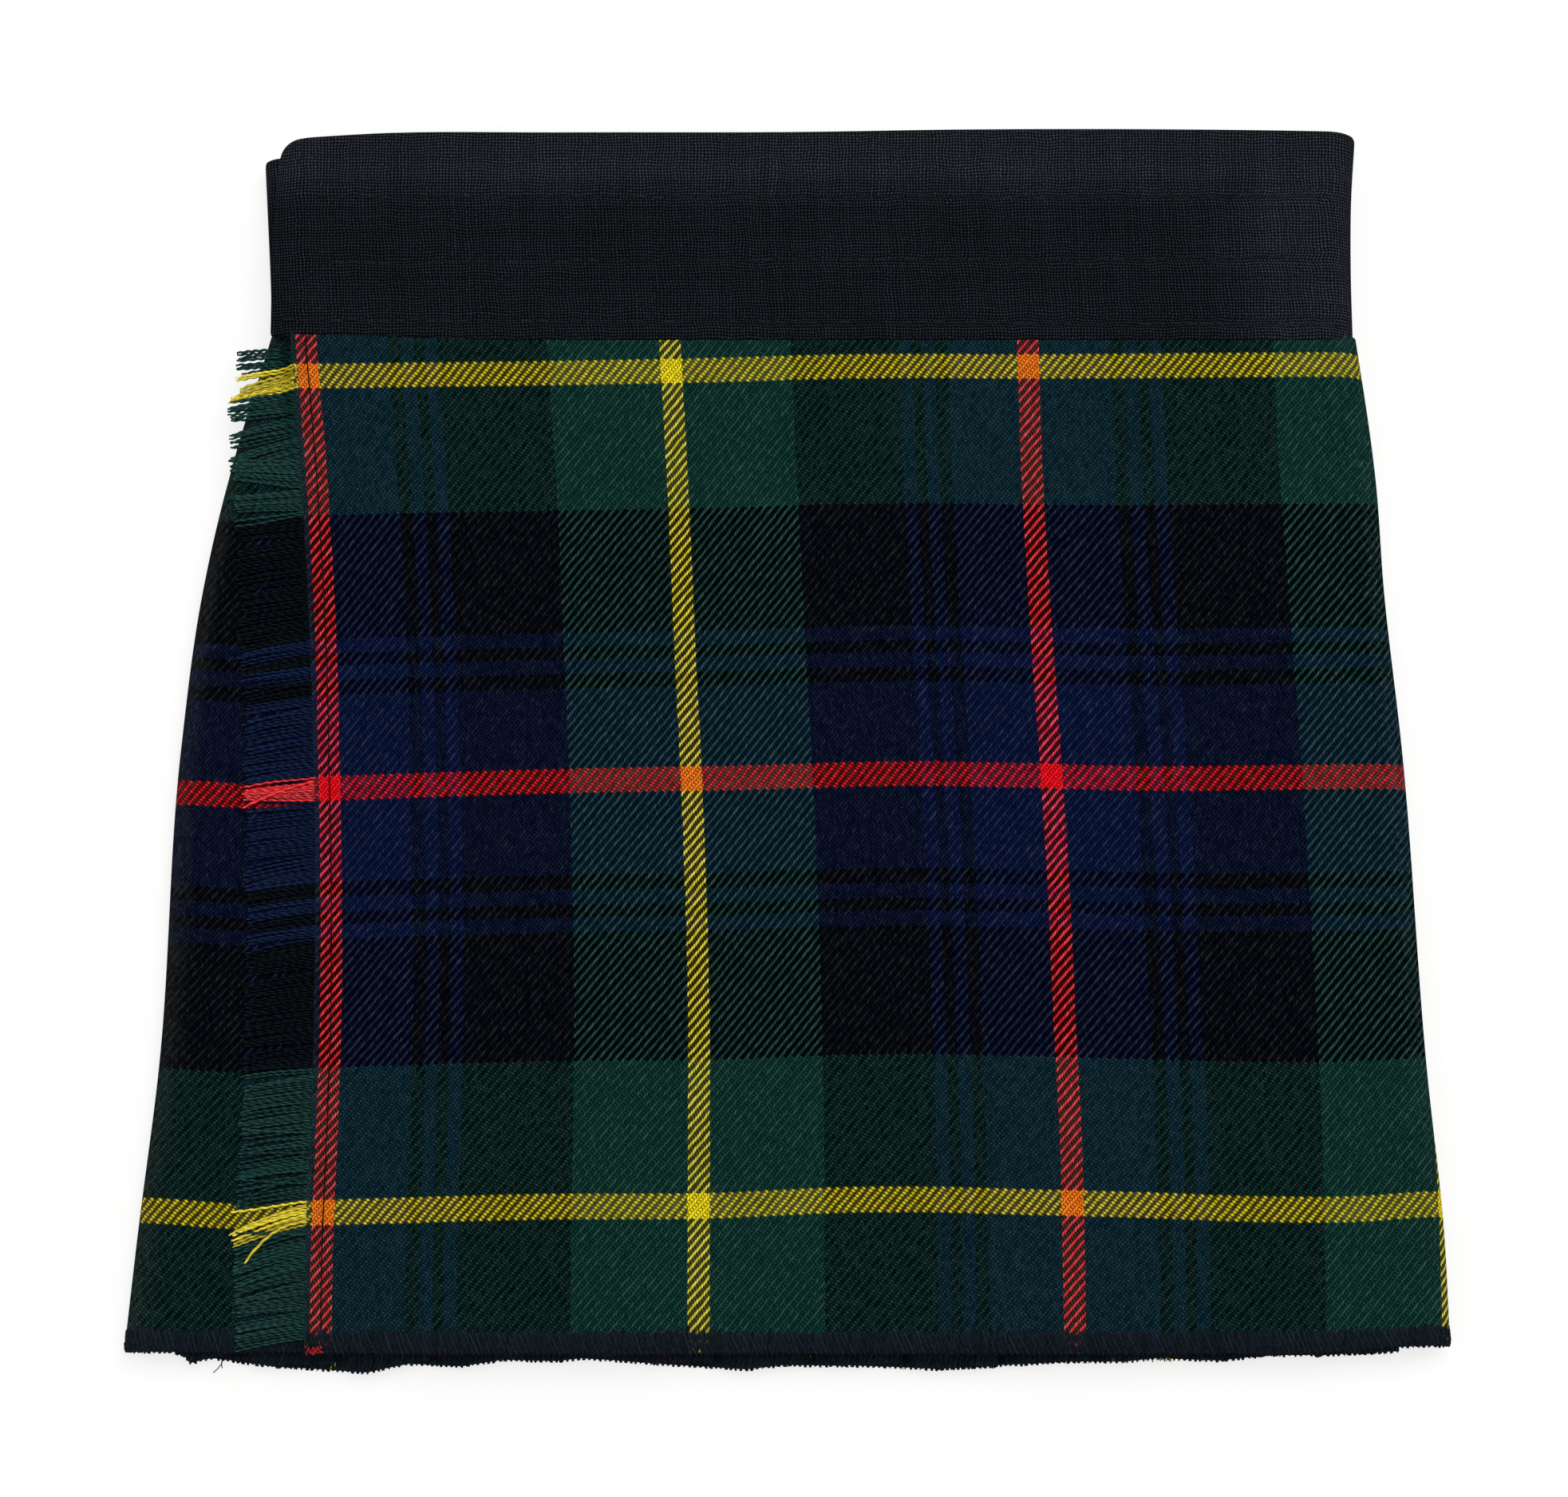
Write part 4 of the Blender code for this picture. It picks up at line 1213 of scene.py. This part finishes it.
def over_band_grid(count):
    """The outer stretch, from its free rounded end, round the right fold, to its seam."""
    mid = OVER_BAND_MID
    rings = []
    for share in band_shares(count):
        left, right = band_ends(share, "over_left")
        side_x = right - BAND / 2
        end = left + BAND_CORNER * (1.0 - np.cos(np.linspace(0.0, math.pi / 2, 9)))
        flat = np.linspace(left + BAND_CORNER, side_x - RIGHT_FOLD_TOP, 262)[1:]
        side_z = (mid + BAND / 2) / 2
        side = side_fold(side_x, side_z, (-RIGHT_FOLD_TOP, mid, 8), (-RIGHT_FOLD_LOW, BAND / 2, 7))
        under = np.linspace(side[0][-1], right - BAND_SEAM_IN, 5)[1:]
        top_x = np.concatenate([end, flat[:-1]])
        droop = BAND_END_DROOP * (1.0 - smoothstep((top_x - left) / BAND_END_DROOP_LENGTH))
        x, z = join([(top_x, mid - droop), side, (under, np.full(4, BAND / 2))])
        inward = np.clip(x - left, 0.0, BAND_CORNER)
        rise = np.sqrt(np.maximum(BAND_CORNER ** 2 - (BAND_CORNER - inward) ** 2, 0.0))
        on_top = np.arange(len(x)) < len(top_x)
        corner = np.where(on_top, rise - BAND_CORNER, 0.0)
        y = blend(band_bottom(x), band_top(x) + corner, share)
        rings.append((x, y, z - np.where(on_top, seam_trough(x, y), 0.0)))
    return grid_of(rings)


def under_band_grid(count):
    """The hidden stretch, from its seam, round the left fold, to its free end at the right."""
    mid = UNDER_BAND_MID
    rings = []
    for share in band_shares(count):
        left, right = band_ends(share, "under_left")
        side_x = left + BAND / 2
        side_z = (mid + BAND / 2) / 2
        side = side_fold(side_x, side_z, (LEFT_ROLL_LOW, BAND / 2, 7), (LEFT_ROLL_LOW, mid, 7))
        start = np.linspace(left + BAND_SEAM_IN, side[0][0], 5)[:-1]
        flat = np.linspace(side[0][-1], right - UNDER_APRON_END_IN, 90)[1:]
        x, z = join([(start, np.full(4, BAND / 2)), side, (flat, np.full(89, mid))])
        rings.append((x, blend(band_bottom(x), inner_top(x), share), z))
    return grid_of(rings)


def band_piece(name, grid, thickness, node):
    """A stretch of the waistband with its own weave."""
    weave = cloth_map(along(grid) / BAND_END_PITCH, grid[:, :, 1] / BAND_PICK_PITCH)
    return cloth_piece(name, grid, thickness, weave, WEAVE, node)


def folded_band(name, grid, node):
    """A stretch of the waistband with rounded edges."""
    shares = (grid[:, :1, 1] - grid[:1, :1, 1]) / (grid[-1:, :1, 1] - grid[:1, :1, 1])
    heights = grid[-1, :, 1] - grid[0, :, 1]
    thickness = band_thickness(np.clip(shares, 0.0, 1.0), heights[None, :])
    return band_piece(name, grid, thickness, node)


def back_band():
    """The stretch over the pleats' tops: a flat underside, a crowned face, and tapered ends."""
    rings = []
    walls = []
    for share in band_shares(26):
        left, right = band_ends(share, "under_left")
        left += BAND_SEAM_IN + GAP
        right -= BAND_SEAM_IN + GAP
        x = np.concatenate([np.linspace(left, left + BAND_WEDGE, 10)[:-1],
                            np.linspace(left + BAND_WEDGE, right - BAND_WEDGE, 90),
                            np.linspace(right - BAND_WEDGE, right, 10)[1:]])
        full = smoothstep(np.minimum(x - left, right - x) / BAND_WEDGE)
        y = blend(band_bottom(x), inner_top(x), share)
        near = np.minimum(share, 1.0 - share) * (inner_top(x) - band_bottom(x))
        inset = BAND_CROWN * (1.0 - np.clip(near / BAND_EDGE, 0.0, 1.0)) ** 2
        top = blend(BAND, BAND_OVER_PLEATS, full) - inset
        rings.append((x, y, (top + inset) / 2))
        walls.append(top - inset - 0.06 * MM)
    return band_piece("waistband_back_cloth", grid_of(rings), np.array(walls), "waistband_back")


band_over = folded_band("waistband_over_cloth", over_band_grid(60), "waistband_over")
band_under = folded_band("waistband_under_cloth", under_band_grid(30), "waistband_under")
band_back = back_band()


def surface_height(x, y):
    """Top of the outer waistband at a point of its flat stretch."""
    return OVER_BAND_MID + BAND / 2 - seam_trough(x, y)


def band_stitches():
    """Topstitching of the waistband: one dash for each stitch, sunk in its trough."""
    rng = np.random.default_rng(11)
    share = np.linspace(0.0, 1.0, 9)
    lines = []
    for seam in STITCH_LINES:
        start, run, length = seam_run(seam)
        count = int(length / STITCH)
        for k in range(count):
            wobble = rng.normal(0.0, 0.09 * MM, 2)
            at = start + run * ((k + 0.12 + 0.76 * share[:, None]) / count) + wobble
            x = at[:, 0]
            y = at[:, 1] + 0.05 * MM * np.sin(share * 9.0 + k)
            lift = 0.16 * MM * np.sin(math.pi * share) ** 0.5 - 0.13 * MM
            lines.append(np.stack([x, y, surface_height(x, y) + lift], axis=1))
    maps = strand_map(rng.uniform(0.7, 1.3, len(lines)), len(share))
    piece = tubes("waistband_stitching", np.array(lines), UP, *TOPSTITCH_SECTION, 6, maps)
    link(piece, BLACK_THREAD)


band_stitches()


def on_grid(grid, normals, column, height, off):
    """Points on a panel, and the normals there: a column as a real number, a height above the hem
    and a step off the wall's middle."""
    rows, columns = grid.shape[:2]
    pitch = (WAIST_Y - HEM_Y) / (rows - 1)
    row = np.clip(height / pitch, 0.0, rows - 1.001)
    column = np.clip(column, 0.0, columns - 1.001)
    i = row.astype(int)
    j = column.astype(int)
    a = (row - i)[..., None]
    b = (column - j)[..., None]

    def read(field):
        low = field[i, j] * (1 - b) + field[i, j + 1] * b
        high = field[i + 1, j] * (1 - b) + field[i + 1, j + 1] * b
        return low * (1 - a) + high * a

    point = read(grid)
    normal = read(normals)
    normal = normal / np.linalg.norm(normal, axis=-1, keepdims=True)
    below = np.minimum(height, 0.0)
    point = point + normal * off[..., None]
    point[..., 1] += below
    return point, normal


# Overlock: the length of a stitch, and the knots of a strand on its way down. Each has a share of
# the way, a height above the hem and a step off the cloth's middle, in millimetres
OVERLOCK_STITCH = 1.06 * MM
Knot = namedtuple("Knot", "share height off")
OVERLOCK_STRAND = (
    Knot(0.00, 4.10, 0.20),
    Knot(0.06, 3.80, 0.42),
    Knot(0.35, 2.50, 0.48),
    Knot(0.65, 1.20, 0.48),
    Knot(0.86, 0.25, 0.44),
    Knot(0.96, -0.22, 0.22),
    Knot(1.00, -0.32, 0.00),
)
# Strands of one stitch: how far each leans to the right on its way down, its depth as a share of
# the knots' steps off the cloth, its tone and half its width in millimetres
Strand = namedtuple("Strand", "lean depth tone across")
OVERLOCK_STRANDS = (
    Strand(1.75, 1.0, 1.05, 0.15),
    Strand(-0.60, 0.88, 0.50, 0.26),
)
# The looper thread's repeat and its step off the cloth's middle. Then its heights above the hem
# through one repeat, in millimetres
LOOPER = 3.5 * MM
LOOPER_OFF = 0.56 * MM
LOOPER_SHAPE = (0.4, 0.7, 1.0, 1.35, 1.6, 1.4, 1.0, 0.65, 0.4)


def overlock(name, grid, seed):
    """Overlocked hem: leaning strands on each side of the cloth, locked at its edge, and a looper
    thread along them."""
    rng = np.random.default_rng(seed)
    normals = grid_normals(grid)
    lengths = along(grid)[0]
    count = int(lengths[-1] / OVERLOCK_STITCH)
    start = (np.arange(count) + 0.25) * OVERLOCK_STITCH
    shares, heights, offs = np.array(OVERLOCK_STRAND).T[:, None, :]
    heights = heights * MM
    offs = offs * MM
    lines = []
    outs = []
    tones = []
    widths = []

    def lay(at, height, off, side):
        column = np.interp(at, lengths, np.arange(len(lengths)))
        point, normal = on_grid(grid, normals, column, height, side * off)
        low = smoothstep((0.6 * MM - height) / (0.8 * MM))[..., None]
        lines.append(point)
        outs.append(normal * side * (1 - low) + np.array([0.0, -1.0, 0.0]) * low)

    for side in (1.0, -1.0):
        for strand in OVERLOCK_STRANDS:
            jitter = rng.normal(0.0, 0.10 * MM, (count, 1))
            lean = strand.lean * MM * (1.0 + rng.normal(0.0, 0.12, (count, 1)))
            wave = 0.07 * np.sin(start / (9.0 * MM)) + 0.05 * np.sin(start / (2.3 * MM))
            tall = 1.0 + wave[:, None] + rng.normal(0.0, 0.07, (count, 1))
            at = start[:, None] + jitter + lean * (shares - 0.5)
            loose = rng.uniform(0.2, 1.6, (count, 1))
            height = heights * np.where(heights > 0, tall, loose)
            off = strand.depth * offs * (1.0 + rng.normal(0.0, 0.05, (count, 1)))
            lay(at, height, off, side)
            tones.append(strand.tone * rng.uniform(0.55, 1.35, count))
            widths.append(strand.across * MM * rng.uniform(0.75, 1.25, count))
    wide = np.concatenate(widths)[:, None]
    piece = tubes(name, np.concatenate(lines), np.concatenate(outs), wide, 0.62 * wide, 5,
                  strand_map(np.concatenate(tones), len(OVERLOCK_STRAND)))
    link(piece, NAVY_THREAD)

    lines.clear()
    outs.clear()
    repeats = int(lengths[-1] / LOOPER)
    shape = np.array(LOOPER_SHAPE) * MM
    at = (np.arange(repeats)[:, None] + np.linspace(0.0, 1.0, len(shape))[None, :]) * LOOPER
    swing = np.broadcast_to(shape, at.shape) + 0.25 * MM * np.sin(at / (5.1 * MM))
    at = at + 0.4 * MM * np.sin(at / (3.3 * MM))
    for side in (1.0, -1.0):
        lay(at, swing, np.full(at.shape, LOOPER_OFF), side)
    maps = strand_map(rng.uniform(0.35, 0.95, 2 * repeats), len(shape))
    looper = tubes(name + "_looper", np.concatenate(lines), np.concatenate(outs), *LOOPER_SECTION, 5, maps)
    link(looper, NAVY_THREAD)
    return piece, looper


hem_over, looper_over = overlock("over_apron_overlock", over_grid, 21)
hem_under, looper_under = overlock("under_apron_overlock", under_grid, 22)
hem_back, looper_back = overlock("pleated_back_overlock", back_grid, 23)


EDGE_STITCH = 2.5 * MM
EDGE_STITCH_SHOWS = 2.3 * MM


def edge_stitches():
    """Stay stitching down the red stripe beside the fringe."""
    rng = np.random.default_rng(31)
    normals = grid_normals(over_grid)
    share = np.linspace(0.0, 1.0, 7)
    height = np.arange(1.0 * MM, WAIST_Y - HEM_Y, EDGE_STITCH)[:, None] + EDGE_STITCH_SHOWS * share
    rows = height / (WAIST_Y - HEM_Y) * (len(over_grid) - 1)
    on_row = [np.interp(-float(HALF_SETT), threads, np.arange(len(threads))) for threads in over_u]
    column = np.interp(rows, np.arange(len(over_grid)), on_row) + 0.05 * np.sin(height / (4.7 * MM))
    column = column + rng.normal(0.0, 0.02, (len(height), 1))
    sink = 0.10 * MM * (np.sin(math.pi * share) ** 0.5 - 1.0)
    lines, outs = on_grid(over_grid, normals, column, height, CLOTH / 2 + sink + 0.0 * height)
    maps = strand_map(rng.uniform(0.5, 1.1, len(lines)), len(share))
    piece = tubes("apron_edge_stitching", lines, outs, *EDGE_STITCH_SECTION, 5, maps)
    return link(piece, BLACK_THREAD)


edge_stitching = edge_stitches()

# X, Y and Z down two loose threads below the hem, in millimetres
LOOSE_THREADS = (
    ((-110.2, -121.9, 2.6), (-110.9, -123.0, 2.0), (-111.0, -124.2, 1.2), (-111.9, -125.3, 0.6),
     (-112.8, -126.1, 0.4)),
    ((-111.6, -121.9, 2.6), (-111.4, -122.8, 2.1), (-111.0, -123.6, 1.5), (-111.2, -124.6, 0.8),
     (-111.1, -125.2, 0.4)),
)


def loose_threads():
    """Thread ends left hanging from the hem."""
    lines = np.array(LOOSE_THREADS) * MM
    share = np.linspace(0.0, 1.0, lines.shape[1])
    finer = np.linspace(0.0, 1.0, 17)
    lines = np.array([[np.interp(finer, share, line[:, axis]) for axis in range(3)] for line in lines])
    lines = np.moveaxis(lines, 1, 2)
    maps = strand_map(np.ones(len(lines)), len(finer))
    piece = tubes("loose_threads", lines, UP, *LOOSE_SECTION, 5, maps)
    return link(piece, NAVY_THREAD)


hanging = loose_threads()

# Fringe of the over apron's free edge: its ends, its reach and its hidden roots, in millimetres
FRINGE_LOW = -119.6
FRINGE_HIGH = 79.9
FRINGE_REACH = 14.1
FRINGE_ROOT = 0.9
# One yarn: its crimp, half its section, and how many of them stray
CRIMP_LENGTH = 1.65 * MM
CRIMP_WIDE = 0.10 * MM
CRIMP_HIGH = 0.07 * MM
YARN_WIDE = 0.29 * MM
YARN_HIGH = 0.20 * MM
YARN_STEPS = 39
STRAY_SHARE = 0.03
# Height of the one yarn that hangs far out of the fringe, in millimetres
SPLAYED_YARN = -96.8
# Locks that stand out, in millimetres: the roots they gather and how far they reach out and slope
# down. Then how much their yarns draw together, as a share, and how much they bow
Tuft = namedtuple("Tuft", "low high reach down converge curl")
TUFTS = (
    Tuft(74.9, 80.2, 11.6, 1.2, -0.27, 0.4),
    Tuft(73.2, 74.9, 11.0, 3.5, 0.10, 0.3),
    Tuft(69.5, 73.2, 13.2, 2.7, 0.72, 0.3),
    Tuft(65.5, 69.5, 13.7, 1.8, 0.25, 0.5),
    Tuft(61.5, 65.5, 13.8, 3.2, 0.30, 0.5),
    Tuft(56.0, 61.5, 13.8, 4.3, 0.10, 0.6),
    Tuft(50.0, 56.0, 14.0, -0.8, 0.35, 0.4),
    Tuft(45.5, 50.0, 14.2, 0.8, 0.10, 0.3),
    Tuft(-8.6, -3.0, 14.2, 1.9, 0.05, 0.4),
    Tuft(-14.0, -8.6, 14.4, 0.9, 0.50, 0.3),
    Tuft(-93.0, -88.0, 14.2, 2.2, 0.05, 0.4),
    Tuft(-97.8, -93.0, 14.6, 4.8, 0.12, 0.3),
    Tuft(-103.5, -97.8, 14.3, 4.4, 0.10, 0.4),
    Tuft(-110.0, -103.5, 14.2, 4.0, 0.05, 0.4),
)


def all_tufts(rng):
    """The locks that stand out, then plain ones of uneven height from the hem up."""
    tufts = list(TUFTS)
    y = FRINGE_LOW
    while y < FRINGE_HIGH:
        height = rng.uniform(2.4, 6.5)
        tufts.append(Tuft(y, y + height, FRINGE_REACH + rng.normal(0.0, 0.28), rng.uniform(1.4, 3.0),
                          rng.uniform(0.0, 0.28), rng.uniform(0.2, 0.7)))
        y += height
    return tufts


def fringe_yarn(tuft, root_y, pick, share, rng):
    """Middle line of one yarn, and its crimp: 1 where it crests."""
    station = station_at(root_y)
    middle = (tuft.low + tuft.high) / 2 * MM
    reach = tuft.reach * MM + rng.normal(0.0, 0.30 * MM)
    down = tuft.down * MM + rng.normal(0.0, 0.20 * MM) + (root_y - middle) * tuft.converge
    bow = rng.normal(0.0, 0.30 * MM) * tuft.curl * 2
    pile = rng.uniform(0.0, 0.34 * MM)
    turn = 1.35
    if abs(root_y - SPLAYED_YARN * MM) < PICK_PITCH / 2:
        reach, down, turn, pile = 12.0 * MM, 8.0 * MM, 2.4, 0.55 * MM
    elif rng.random() < STRAY_SHARE:
        down += rng.normal(0.0, 2.4 * MM)
        pile = 0.45 * MM
    x = station.edge + FRINGE_ROOT * MM - (reach + FRINGE_ROOT * MM) * share
    length = CRIMP_LENGTH * rng.uniform(0.85, 1.18)
    phase = 2 * math.pi * reach * share / length + math.pi / 2 * (pick % TWILL)
    phase = phase + rng.normal(0.0, 0.6) + 0.9 * np.sin(share * 9.0 + rng.uniform(0.0, 6.3))
    y = root_y - down * share ** turn + bow * np.sin(math.pi * share) * share
    y = y + CRIMP_WIDE * np.sin(phase)
    rest_x = np.maximum(x, station.left + PART_CLOTH / 2 + station.roll)
    rest = under_mid(station, rest_x) + CLOTH / 2 + YARN_HIGH + pile
    root_z = float(over_mid(station, np.array([station.edge]))[0])
    z = blend(root_z, rest, smoothstep(share * 3.2)) + CRIMP_HIGH * np.cos(phase)
    return np.stack([x, y, z], axis=1), np.cos(phase)


def fringe():
    """One crimped yarn for each pick, gathered loosely in tufts, in that pick's colour."""
    rng = np.random.default_rng(5)
    low_pick = int(weft_picks(OVER_WEFT, np.array(-93.5 * MM), np.array(FRINGE_LOW * MM)))
    high_pick = int(weft_picks(OVER_WEFT, np.array(-98.0 * MM), np.array(FRINGE_HIGH * MM)))
    picks = np.arange(low_pick, high_pick)
    edge_y = np.interp(picks + 0.5, over_v[:, 0], over_grid[:, 0, 1])
    share = np.linspace(0.0, 1.0, YARN_STEPS)
    tufts = all_tufts(rng)
    lines = []
    crests = []
    for pick, root_y in zip(picks, edge_y):
        tuft = next(t for t in tufts if t.low * MM <= root_y < t.high * MM)
        line, crest = fringe_yarn(tuft, root_y, pick, share, rng)
        lines.append(line)
        crests.append(crest)
    lines = np.array(lines)
    crests = np.array(crests)
    normals = np.zeros_like(lines)
    normals[..., 1] = 0.25 * np.sin(7.0 * share)[None, :]
    normals[..., 2] = 1.0
    weight = rng.uniform(0.86, 1.14, (len(lines), 1))
    taper = 1.0 - 0.35 * smoothstep((share - 0.88) / 0.12)
    maps = cloth_map(crests, np.broadcast_to(picks[:, None] + 0.5, crests.shape))
    maps.update(strand_map(rng.uniform(0.58, 1.34, len(lines)), YARN_STEPS))
    piece = tubes("apron_fringe_yarns", lines, normals, YARN_WIDE * weight * taper,
                  YARN_HIGH * weight * taper, 6, maps)
    link(piece, YARN)
    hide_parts("apron_fringe")
    return piece


yarns = fringe()

# Frayed yarn ends at the hems, in millimetres: where they show, the thread whose colour they have,
# their number and their length
Fray = namedtuple("Fray", "x_low x_high y_low y_high z thread count length")
YELLOW_THREAD = 0
GREEN_THREAD = 30
GREY_THREAD = 80
RED_THREAD = 168
FRAYS = (
    Fray(-90.6, -85.8, -124.9, -123.9, 1.6, YELLOW_THREAD, 12, 1.4),
    Fray(-86.6, -82.4, -125.0, -122.8, 1.7, GREEN_THREAD, 16, 1.5),
    Fray(-71.6, -67.0, -123.1, -122.5, 1.9, RED_THREAD, 9, 0.8),
    Fray(-14.4, -13.6, -123.8, -123.3, 1.6, YELLOW_THREAD, 3, 0.8),
    Fray(4.2, 4.8, -122.9, -122.4, 1.9, YELLOW_THREAD, 2, 0.7),
    Fray(22.1, 22.7, -125.2, -124.6, 1.2, YELLOW_THREAD, 3, 0.7),
    Fray(64.3, 66.8, -123.7, -122.6, 1.8, RED_THREAD, 10, 0.9),
    Fray(71.0, 75.4, -123.7, -123.2, 1.7, YELLOW_THREAD, 10, 0.9),
    Fray(72.9, 76.2, -123.2, -122.4, 1.9, GREEN_THREAD, 14, 1.2),
    Fray(77.3, 77.9, -122.6, -122.2, 2.0, RED_THREAD, 3, 0.7),
    Fray(78.6, 84.5, -123.4, -122.6, 1.8, GREY_THREAD, 18, 1.1),
    Fray(80.1, 80.7, -122.7, -122.3, 2.0, RED_THREAD, 3, 0.7),
    Fray(-93.6, -90.6, -122.2, -120.7, 8.3, RED_THREAD, 26, 0.55),
)


def frays():
    """Short loose ends of the cut warp yarns below the hems."""
    rng = np.random.default_rng(41)
    share = np.linspace(0.0, 1.0, 6)
    lines = []
    threads = []
    for fray in FRAYS:
        for _ in range(fray.count):
            x = rng.uniform(fray.x_low, fray.x_high)
            y = rng.uniform(fray.y_low, fray.y_high)
            slope = rng.normal(0.0, 0.45)
            length = fray.length * rng.uniform(0.6, 1.25)
            curl = rng.normal(0.0, 0.15)
            path_x = x + length * (slope * share + curl * np.sin(5.0 * share))
            path_y = y + length * (0.5 - share)
            path_z = fray.z + rng.uniform(-0.2, 0.2) + 0.12 * np.sin(4.0 * share + x)
            lines.append(np.stack([path_x, path_y, path_z], axis=1) * MM)
            threads.append(fray.thread + 0.5)
    lines = np.array(lines)
    colours = np.broadcast_to(np.array(threads)[:, None], lines.shape[:2])
    maps = cloth_map(np.full(lines.shape[:2], 0.3), colours)
    maps.update(strand_map(rng.uniform(0.6, 1.1, len(lines)), len(share)))
    piece = tubes("hem_frayed_ends", lines, UP, *FRAY_SECTION, 5, maps)
    return link(piece, YARN)


loose_ends = frays()

# Fastening tapes, which keep their solids
for node, hooks in (("hook_tape", True), ("loop_tape", False)):
    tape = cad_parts[node]
    tape.data.materials.clear()
    tape.data.materials.append(tape_material(node + "_finish", hooks))

# Floor, light and camera
CENTRE = (-0.55 * MM, -2.95 * MM, 7.0 * MM)
CAMERA_AWAY = 620.0 * MM
CAMERA_DIRECTION = (0.0, -0.1478, 0.9890)
PHOTO_WIDTH_PX = 1965
FOCAL_PX = 3875
SENSOR_MM = 36.0
FLOOR_SIZE = 4.0
FLOOR_DROP = 0.1 * MM
FLOOR_COLOUR = (0.20, 0.20, 0.198, 1.0)
WORLD_STRENGTH = 0.85
Lamp = namedtuple("Lamp", "name place size power")
LAMPS = (
    Lamp("overhead", (0.30, 0.50, 1.20), 1.1, 15.0),
    Lamp("left_fill", (-1.1, -0.2, 0.9), 0.8, 4.0),
    Lamp("right_fill", (1.2, 0.5, 0.5), 0.6, 4.0),
)


def add_floor():
    """Pale surface that the kilt lies on."""
    bpy.ops.mesh.primitive_plane_add(size=FLOOR_SIZE, location=(0.0, 0.0, -FLOOR_DROP))
    floor = bpy.context.object
    floor.name = "floor"
    floor.data.materials.append(floor_material())


def look_at(thing, target):
    """Turn a lamp or the camera towards a place."""
    aim = Vector(target) - thing.location
    thing.rotation_euler = aim.to_track_quat("-Z", "Y").to_euler()


def add_area_light(name, place, size, power):
    """A large soft light that looks at the kilt."""
    data = bpy.data.lights.new(name, "AREA")
    data.shape = "SQUARE"
    data.size = size
    data.energy = power
    lamp = bpy.data.objects.new(name, data)
    lamp.location = place
    look_at(lamp, (0.0, 0.0, 0.0))
    bpy.context.scene.collection.objects.link(lamp)


def add_world(strength):
    """Even white surroundings."""
    world = bpy.data.worlds.new("studio")
    world.use_nodes = True
    sky = world.node_tree.nodes["Background"]
    sky.inputs["Color"].default_value = (1.0, 1.0, 1.0, 1.0)
    sky.inputs["Strength"].default_value = strength
    bpy.context.scene.world = world


def add_camera():
    """Camera almost straight above, as the garment was seen."""
    data = bpy.data.cameras.new("view")
    data.sensor_fit = "HORIZONTAL"
    data.sensor_width = SENSOR_MM
    data.lens = SENSOR_MM * FOCAL_PX / PHOTO_WIDTH_PX
    data.clip_start = 0.01
    camera = bpy.data.objects.new("view", data)
    camera.location = Vector(CENTRE) + Vector(CAMERA_DIRECTION).normalized() * CAMERA_AWAY
    look_at(camera, CENTRE)
    bpy.context.scene.collection.objects.link(camera)
    bpy.context.scene.camera = camera


add_floor()
for lamp in LAMPS:
    add_area_light(*lamp)
add_world(WORLD_STRENGTH)
add_camera()
bpy.context.scene.view_settings.view_transform = "Standard"
